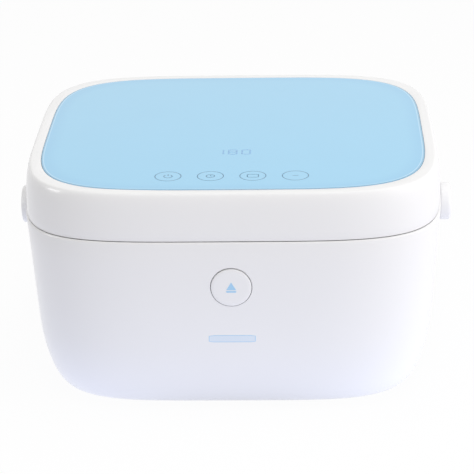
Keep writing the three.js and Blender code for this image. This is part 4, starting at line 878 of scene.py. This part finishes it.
def linerInset(height, offset):
    s = linerShape
    below = max(0, 1 - (height - s["floor"]) / s["round"])
    return s["draft"] * (flangeTop - height) + s["inset"] * (1 - math.sqrt(1 - below * below)) + offset


def linerForm(offset, high, lift=0.0):
    s = linerShape
    low, run = s["floor"], s["round"]
    heights = [low + run * (i / s["steps"]) ** s["power"] for i in range(s["steps"] + 1)]
    heights += [low + run + (high - low - run) * share for share in s["wallShares"]]
    rows = [(linerInset(height, offset), height + lift) for height in heights]
    inset, height = rows[0]
    return chamberPiece((inset + s["fill"], height), *rows)


def lampSlot(low, high):
    s = linerShape
    return brick((-s["slotHalfX"], s["setBack"] - s["slotHalfY"], low),
                 (s["slotHalfX"], s["setBack"] + s["slotHalfY"], high))


def modelLiner():
    s = linerShape
    tub = fuse(linerForm(0, flangeTop), chamberPlate(-s["flange"], flangeLow, flangeTop))
    cutAway(tub, linerForm(s["sheet"], flangeTop + overrun, s["sheet"]),
            lampSlot(s["floor"] - overrun, s["floor"] + overrun))
    return settleNode(tub, "chamberTub", "chamber_liner")


def modelDeck():
    wide, deep, _ = caseLevel(deckTop, caseShape["rimWall"] + fit)
    deck = platePiece(wide, deep, deckLow, deckTop, plateEdge)
    half = deckShape["slotHalf"]
    slot = brick((-half, -deckShape["slotFront"], deckLow - overrun),
                 (half, -deckShape["slotRear"], deckTop + overrun))
    cutAway(deck, linerForm(-fit, deckTop + overrun), slot)
    return settleNode(deck, "rimDeck", "rim_frame")


trayShape = {
    "inset": 7.7, "rise": 17, "taper": 3, "flange": 6, "crown": 15, "crownShare": 0.6, "crownSteps": 6,
}


def modelLidRing():
    wide, deep, _ = lidLevel(0, lidShape["wall"] + fit)
    ring = platePiece(wide, deep, ringLow, ringTop, plateEdge)
    low, high = ringLow - overrun, ringTop + overrun
    cutAway(ring, chamberPlate(trayShape["inset"], low, high))
    for post in lidPosts():
        cutAway(ring, rod("z", lidShape["screwHole"], low, high, post, holeSides))
    return settleNode(ring, "lidRing", "lid_ring")


def trayForm(offset, low, high):
    t = trayShape
    end = ringTop + fit + t["rise"] * t["crownShare"]
    rows = [(0, low), (t["taper"], end)]
    for i in range(1, t["crownSteps"] + 1):
        turn = i / t["crownSteps"] * math.pi / 2
        rows.append((t["taper"] + (t["crown"] - t["taper"]) * (1 - math.cos(turn)),
                     end + (high - end) * math.sin(turn)))
    return chamberPiece(*[(t["inset"] + offset + inset, height) for inset, height in rows])


def modelTray():
    t, sheet = trayShape, linerShape["sheet"]
    low = ringTop + fit
    high = low + t["rise"]
    tray = fuse(trayForm(0, low, high), chamberPlate(t["inset"] - t["flange"], low, low + sheet))
    cutAway(tray, trayForm(sheet, low - overrun, high - sheet), lampSlot(high - overrun, high + overrun))
    return settleNode(tray, "lidTray", "lid_reflector")


sealShape = {"setIn": 1, "lip": 1, "bulge": 0.3, "bulgeRise": 0.2, "width": 6}


def modelGasket():
    g = sealShape
    low, high = flangeTop + fit, ringLow - fit
    out = g["setIn"] - linerShape["flange"]
    bead = chamberPiece((out + g["lip"], low), (out + g["bulge"], low + (high - low) * g["bulgeRise"]),
                        (out, (low + high) / 2), (out, high))
    cutAway(bead, chamberPlate(out + g["width"], low - overrun, high + overrun))
    return settleNode(bead, "lidSeal", "lid_gasket")


rackShape = {
    "level": 37.3, "clear": 4, "frame": 1.6, "frameSteps": 160, "wire": 1.1, "sides": 4, "pitch": 27,
    "count": 9, "stretcher": 52, "leg": 92, "ankle": 28.4,
    "foot": ((0.9, 23.3), (1.9, 23.6), (2.1, 24.2), (2.1, 28)),
}


# A round wire along points, as a curve that becomes a mesh.
def wirePiece(runs, radius, sides=3, closed=False):
    deselectAll()
    curve = bpy.data.curves.new("wire", "CURVE")
    curve.dimensions = "3D"
    curve.bevel_depth = radius
    curve.bevel_resolution = sides
    curve.use_fill_caps = True
    for run in runs:
        spline = curve.splines.new("POLY")
        spline.points.add(len(run) - 1)
        for point, place in zip(spline.points, run):
            point.co = (*place, 1)
        spline.use_cyclic_u = closed
    activate(addObject("wire", curve))
    bpy.ops.object.convert(target="MESH")
    return bpy.context.object


def joinPieces(first, *others):
    deselectAll()
    for thing in (first, *others):
        thing.select_set(True)
    bpy.context.view_layer.objects.active = first
    bpy.ops.object.join()
    return first


def modelRack():
    r, exponent, middle = rackShape, caseShape["exponent"], linerShape["setBack"]
    level = r["level"]
    inset = linerInset(level, linerShape["sheet"] + r["clear"] + r["frame"])
    wide, deep = linerShape["halfX"] - inset, linerShape["halfY"] - inset
    run = planRun(wide, deep, exponent, r["frameSteps"], (0, middle, level))
    rim = wirePiece([run], r["frame"], r["sides"], True)

    def edgeAt(place, first, second):
        return second * (1 - abs(place / first) ** exponent) ** (1 / exponent)

    runs = []
    for i in range(r["count"]):
        x = (i - (r["count"] - 1) / 2) * r["pitch"]
        reach = edgeAt(x, wide, deep)
        runs.append([(x, y, level) for y in (middle - reach, middle, middle + reach)])
    reach, low = edgeAt(r["stretcher"], deep, wide), level - 2 * r["wire"]
    for side in (-1, 1):
        runs.append([(x, middle + side * r["stretcher"], low) for x in (-reach, 0, reach)])
    wires = wirePiece(runs, r["wire"], r["sides"])
    profile = [*r["foot"], (r["frame"], r["ankle"]), (r["frame"], level)]
    legs = []
    for sideX in (-1, 1):
        for sideY in (-1, 1):
            place = (sideX * r["leg"], middle + sideY * r["stretcher"], 0)
            legs.append(turnedPiece(profile, holeSides, "z", place))
    return settleNode(joinPieces(rim, wires, *legs), "wireRack", "wire_rack", wireDegrees)


# A round wire's coil along z, with a straight leg at each end where leg isn't 0.
def coilRun(radius, length, turns, leg, perTurn=32):
    wound = math.hypot(2 * math.pi * radius * turns, length)
    rise = length / wound
    flat = math.sqrt(1 - rise * rise)
    count = int(turns * perTurn)
    runs = [wound * i / count for i in range(count + 1)]
    if leg:
        runs = [-leg, *runs, wound + leg]
    points = []
    for run in runs:
        held = min(max(run, 0), wound)
        turn = held / wound * turns * 2 * math.pi
        beyond = run - held
        points.append((radius * math.cos(turn) - beyond * flat * math.sin(turn),
                       radius * math.sin(turn) + beyond * flat * math.cos(turn), (held + beyond) * rise))
    return points


springs = {
    # node: radius, wire, turns, leg
    "button_spring": (5.6, 0.55, 5, 0),
    "latch_spring": (3, 0.4, 3, 8),
    "torsion_spring_left": (3.5, 0.65, 4, 6),
    "torsion_spring_right": (3.5, 0.65, 4, 6),
}
springRoom = {
    "leverFront": -133.3, "latchEnds": (5, 10), "latchPin": (-126.5, 121), "hingeRoom": 12, "hingeSpread": 26,
}


# Each spring's length and place follow from the room between its seats.
def modelSprings():
    s, wires = springRoom, {node: row[1] for node, row in springs.items()}
    seat = -caseLevel(buttonShape["height"], buttonShape["face"])[1] + 2 * fit + wires["button_spring"]
    end = s["leverFront"] - fit - wires["button_spring"]
    flip = Matrix.Rotation(-math.pi / 2, 4, "X")
    along = Matrix.Rotation(math.pi / 2, 4, "Y")
    start, stop = s["latchEnds"]
    start, stop = start + wires["latch_spring"] + 2 * fit, stop - wires["latch_spring"] - 2 * fit
    places = {
        "button_spring": (end - seat, Matrix.Translation((0, seat, buttonShape["height"])) @ flip),
        "latch_spring": (stop - start, Matrix.Translation((start, *s["latchPin"])) @ flip @ along),
    }
    for side, name in ((-1, "torsion_spring_left"), (1, "torsion_spring_right")):
        room = s["hingeRoom"] - 2 * (wires[name] + 2 * fit)
        place = Matrix.Translation((side * s["hingeSpread"] - room / 2, hingeY, hingeZ))
        places[name] = (room, place @ flip @ along)
    for node, (length, place) in places.items():
        radius, wire, turns, leg = springs[node]
        run = [place @ Vector(point) for point in coilRun(radius, length, turns, leg)]
        settleNode(wirePiece([run], wire), node + "_wound", node, wireDegrees)


footShape = {
    "spreadX": 96, "spreadY": 84, "sides": 48,
    "profile": ((4.9, -2), (5.4, -2.1), (5.5, -2.9), (5.7, -3), (8.3, -3), (8.75, -2.85), (9, -2.4), (9, 1.2),
                (8.7, 1.5), (8, 1.5)),
}


def modelFeet():
    f = footShape
    for i, (sideX, sideY) in enumerate(((-1, -1), (1, -1), (-1, 1), (1, 1))):
        pad = turnedPiece(f["profile"], f["sides"], "z", (sideX * f["spreadX"], sideY * f["spreadY"], 0))
        settleNode(pad, f"footPad_{i + 1}", f"foot_{i + 1}")


# Screws with a rounded head and a cross recess. Each takes its place from its node, and stands
# head down or lies with its head to the back.
screwShape = {
    "head": 3, "headHeight": 1.6, "dome": ((0.7, 0), (0.2, 0.25), (0, 0.7)), "middle": 0.4,
    "shank": 1.4, "length": 7, "point": 0.6, "taper": 0.5, "slot": 0.75, "slotReach": 1.7, "slotDepth": 0.9,
}


def modelScrew(node, lying):
    s = screwShape
    top, end = s["headHeight"], s["headHeight"] + s["length"]
    profile = [(s["middle"], 0)] + [(s["head"] - inset, height) for inset, height in s["dome"]]
    profile += [(s["head"], top), (s["shank"], top), (s["shank"], end - s["point"]),
                (s["shank"] - s["taper"], end)]
    thing = turnedPiece(profile, boreSides)
    for wide, deep in ((s["slotReach"], s["slot"] / 2), (s["slot"] / 2, s["slotReach"])):
        cutAway(thing, brick((-wide, -deep, -overrun), (wide, deep, s["slotDepth"])))
    low, high = nodeBox(node)
    x, y, z = [(a + b) / 2 for a, b in zip(low, high)]
    if lying:
        thing.rotation_euler = (math.pi / 2, 0, 0)
        thing.location = (x, high[1], z)
    else:
        thing.location = (x, y, low[2])
    return settleNode(applyPlace(thing), node + "_fine", node)


# Ink is a thin closed solid that lies half in the surface it is printed on.
printShape = {
    "flat": 0.12, "lineSides": 2, "keys": 4, "keyRow": -108.1, "firstKey": -48.2, "keyPitch": 32.57,
    "ring": 10, "ringLine": 0.7, "ringSteps": 96,
    "signLine": 0.75, "signRing": 3.2, "signGap": 38, "signSteps": 40, "stem": (1.2, 4.2), "hands": (2, 1.5),
    "window": (4.3, 3.1), "windowExponent": 6, "windowSteps": 48, "dash": 2.2,
    "digits": "180", "digitRow": -54.5, "digitPitch": 10.6, "digitHalfX": 3.2, "digitHalfY": 4.9,
    "digitLine": 1.3, "digitGap": 0.55,
    "labelHalfX": 17.9, "labelHalfZ": 2.8, "labelHeight": 62.5, "labelLine": 0.45, "labelExponent": 16,
    "labelSteps": 96, "labelDepth": 0.4, "labelProud": 0.1,
    "arrow": 4.4, "arrowSides": 3, "arrowRise": 0.3, "signDepth": 0.5,
    "signBar": (4.1, 0.7), "barExponent": 8, "barSteps": 32, "barDrop": 3.3,
}
# which of the seven bars each digit lights: the top, the upper two, the middle, the lower two, the foot
digitRuns = {"0": (1, 1, 1, 0, 1, 1, 1), "1": (0, 0, 1, 0, 0, 1, 0), "8": (1, 1, 1, 1, 1, 1, 1)}


def arcRun(middleX, middleY, radius, start=0, end=360, steps=48):
    run = []
    for i in range(steps + 1):
        turn = math.radians(start + (end - start) * i / steps)
        run.append((middleX + radius * math.sin(turn), middleY + radius * math.cos(turn), 0))
    return run


def pressOnPanel(thing):
    top = lidTop + panelShape["proud"]
    for vertex in thing.data.vertices:
        vertex.co.z = top + vertex.co.z * printShape["flat"]
    return thing


# Stands a flat print up against the front wall, or against the button that stands proud of it.
def pressOnFront(thing, height, proud=0.0):
    for vertex in thing.data.vertices:
        x, up, out = vertex.co
        vertex.co = (x, -out * printShape["flat"] - caseReach(x, up + height, -proud), up + height)
    return thing


# The keys' plain signs: a broken ring with a stem, a clock, a window and a dash.
def keySign(key, x, y):
    p = printShape
    if key == 0:
        low, high = p["stem"]
        return [arcRun(x, y, p["signRing"], p["signGap"], 360 - p["signGap"], p["signSteps"]),
                [(x, y + low, 0), (x, y + high, 0)]]
    if key == 1:
        up, aside = p["hands"]
        return [arcRun(x, y, p["signRing"]), [(x, y + up, 0), (x, y, 0), (x + aside, y, 0)]]
    if key == 2:
        run = planRun(*p["window"], p["windowExponent"], p["windowSteps"], (x, y, 0))
        return [run + run[:1]]
    return [[(x - p["dash"], y, 0), (x + p["dash"], y, 0)]]


def modelPanelPrint():
    p, sides = printShape, printShape["lineSides"]
    rings, signs = [], []
    for i in range(p["keys"]):
        x, y = p["firstKey"] + i * p["keyPitch"], p["keyRow"]
        rings.append(arcRun(x, y, p["ring"], 0, 360 - 360 / p["ringSteps"], p["ringSteps"] - 1))
        signs += keySign(i, x, y)
    ink = joinPieces(wirePiece(rings, p["ringLine"] / 2, sides, True),
                     wirePiece(signs, p["signLine"] / 2, sides))
    settlePiece(pressOnPanel(ink), "panelPrint", "lid", inkSlate, degrees=wireDegrees)
    wide, deep, gap = p["digitHalfX"], p["digitHalfY"], p["digitGap"]
    places = [((-wide + gap, deep), (wide - gap, deep)), ((-wide, gap), (-wide, deep - gap)),
              ((wide, gap), (wide, deep - gap)), ((-wide + gap, 0), (wide - gap, 0)),
              ((-wide, gap - deep), (-wide, -gap)), ((wide, gap - deep), (wide, -gap)),
              ((-wide + gap, -deep), (wide - gap, -deep))]
    bars = []
    for i, digit in enumerate(p["digits"]):
        x, y = (i - 1) * p["digitPitch"], p["digitRow"]
        for lit, ends in zip(digitRuns[digit], places):
            if lit:
                bars.append([(x + end[0], y + end[1], 0) for end in ends])
    digits = wirePiece(bars, p["digitLine"] / 2, sides)
    settlePiece(pressOnPanel(digits), "panelDigits", "lid", inkPale, degrees=wireDegrees)


# The front carries a bare tinted label, and the button a plain lift sign.
def modelFrontPrint():
    p = printShape
    halfX, halfZ, exponent, steps = p["labelHalfX"], p["labelHalfZ"], p["labelExponent"], p["labelSteps"]
    field = platePiece(halfX, halfZ, -p["labelDepth"], p["labelProud"], exponent=exponent, steps=steps)
    settlePiece(pressOnFront(field, p["labelHeight"]), "labelField", "case", labelTint)
    run = planRun(halfX, halfZ, exponent, steps, (0, 0, p["labelProud"]))
    edge = pressOnFront(wirePiece([run], p["labelLine"] / 2, p["lineSides"], True), p["labelHeight"])
    settlePiece(edge, "labelEdge", "case", inkSky, degrees=wireDegrees)
    deep = p["signDepth"]
    arrow = rod("z", p["arrow"], -deep, deep, (0, p["arrowRise"], 0), p["arrowSides"])
    bar = platePiece(*p["signBar"], -deep, deep, middleY=-p["barDrop"], exponent=p["barExponent"],
                     steps=p["barSteps"])
    sign = pressOnFront(joinPieces(arrow, bar), buttonShape["height"], buttonShape["proud"])
    settlePiece(sign, "buttonSign", "button", inkSky)


# Gives one more material to the faces that a test on their middle picks.
def paintWhere(thing, material, test):
    thing.data.materials.append(material)
    for face in thing.data.polygons:
        if test((face.center - caseOrigin) / millimetre):
            face.material_index = len(thing.data.materials) - 1


lampShape = {"count": 6, "pitch": 30, "half": 3, "rise": 2, "lensInset": 1.1, "slack": 0.1, "skin": 0.05}


# Each ultraviolet diode has a ceramic body and a dark lens in its face.
def paintLampBoard(node, up):
    d = lampShape
    low, high = nodeBox(node)
    tip = high[2] if up > 0 else low[2]
    board = bpy.data.objects[node + "_fine"]
    middles = [(i - (d["count"] - 1) / 2) * d["pitch"] for i in range(d["count"])]

    def onDiode(middle):
        near = min(abs(middle.x - place) for place in middles)
        return near < d["half"] + d["slack"] and abs(middle.z - tip) < d["rise"] - d["skin"]

    paintWhere(board, diodeCeramic, onDiode)
    activate(board)
    for face in board.data.polygons:
        middle = (face.center - caseOrigin) / millimetre
        face.select = onDiode(middle) and abs(middle.z - tip) < d["skin"]
    bpy.ops.object.mode_set(mode="EDIT")
    bpy.ops.mesh.inset(thickness=d["lensInset"] * millimetre)
    leaveEdit()
    board.data.materials.append(diodeLens)
    for face in board.data.polygons:
        if face.select:
            face.material_index = len(board.data.materials) - 1


boardShape = {"mainThick": 1.6, "touchThick": 1.2, "skin": 0.1, "metalFrom": 20, "pin": 1.25}


def paintBoards():
    b = boardShape
    paintLampBoard("base_lamp_board", 1)
    paintLampBoard("lid_lamp_board", -1)
    top = nodeBox("control_board")[0][2] + b["mainThick"] + b["skin"]
    main = bpy.data.objects["control_board_fine"]
    paintWhere(main, darkPlastic, lambda middle: middle.z > top and middle.x < b["metalFrom"])
    paintWhere(main, steel, lambda middle: middle.z > top and middle.x >= b["metalFrom"])
    face = nodeBox("touch_board")[1][2] - b["touchThick"] + b["skin"]
    paintWhere(bpy.data.objects["touch_board_fine"], tinnedCopper, lambda middle: middle.z > face)
    side, height = inletShape["side"], inletShape["height"]
    paintWhere(bpy.data.objects["power_socket_fine"], steel,
               lambda middle: math.hypot(middle.x - side, middle.z - height) < b["pin"])


modelCase()
modelLid()
modelPanel()
modelButton()
modelHandle()
print("shells modelled")
modelLiner()
modelDeck()
modelLidRing()
modelTray()
modelGasket()
print("chamber modelled")
modelRack()
modelSprings()
modelFeet()
dressed = (
    "base_cover", "hinge_bracket", "hinge_pin", "power_socket", "latch_bracket", "latch_lever", "striker",
    "catch_spring", "latch_pin", "lid_magnet", "control_board", "touch_board", "display_module",
    "base_lamp_board", "lid_lamp_board", "base_window", "lid_window", "reed_switch",
    "pivot_screw_left", "pivot_screw_right", "pivot_nut_left", "pivot_nut_right",
)
for node in dressed:
    dressNode(node)
paintBoards()
print("small pieces dressed")
for i in range(4):
    modelScrew(f"base_screw_{i + 1}", False)
    modelScrew(f"lid_screw_{i + 1}", False)
for i in range(2):
    modelScrew(f"latch_screw_{i + 1}", True)
    modelScrew(f"hinge_screw_{i + 1}", True)
print("screws modelled")
modelPanelPrint()
modelFrontPrint()
print("prints laid")

aimCamera()
lightStudio()
layFloor()
bpy.context.scene.view_settings.view_transform = "Standard"
print("studio set")
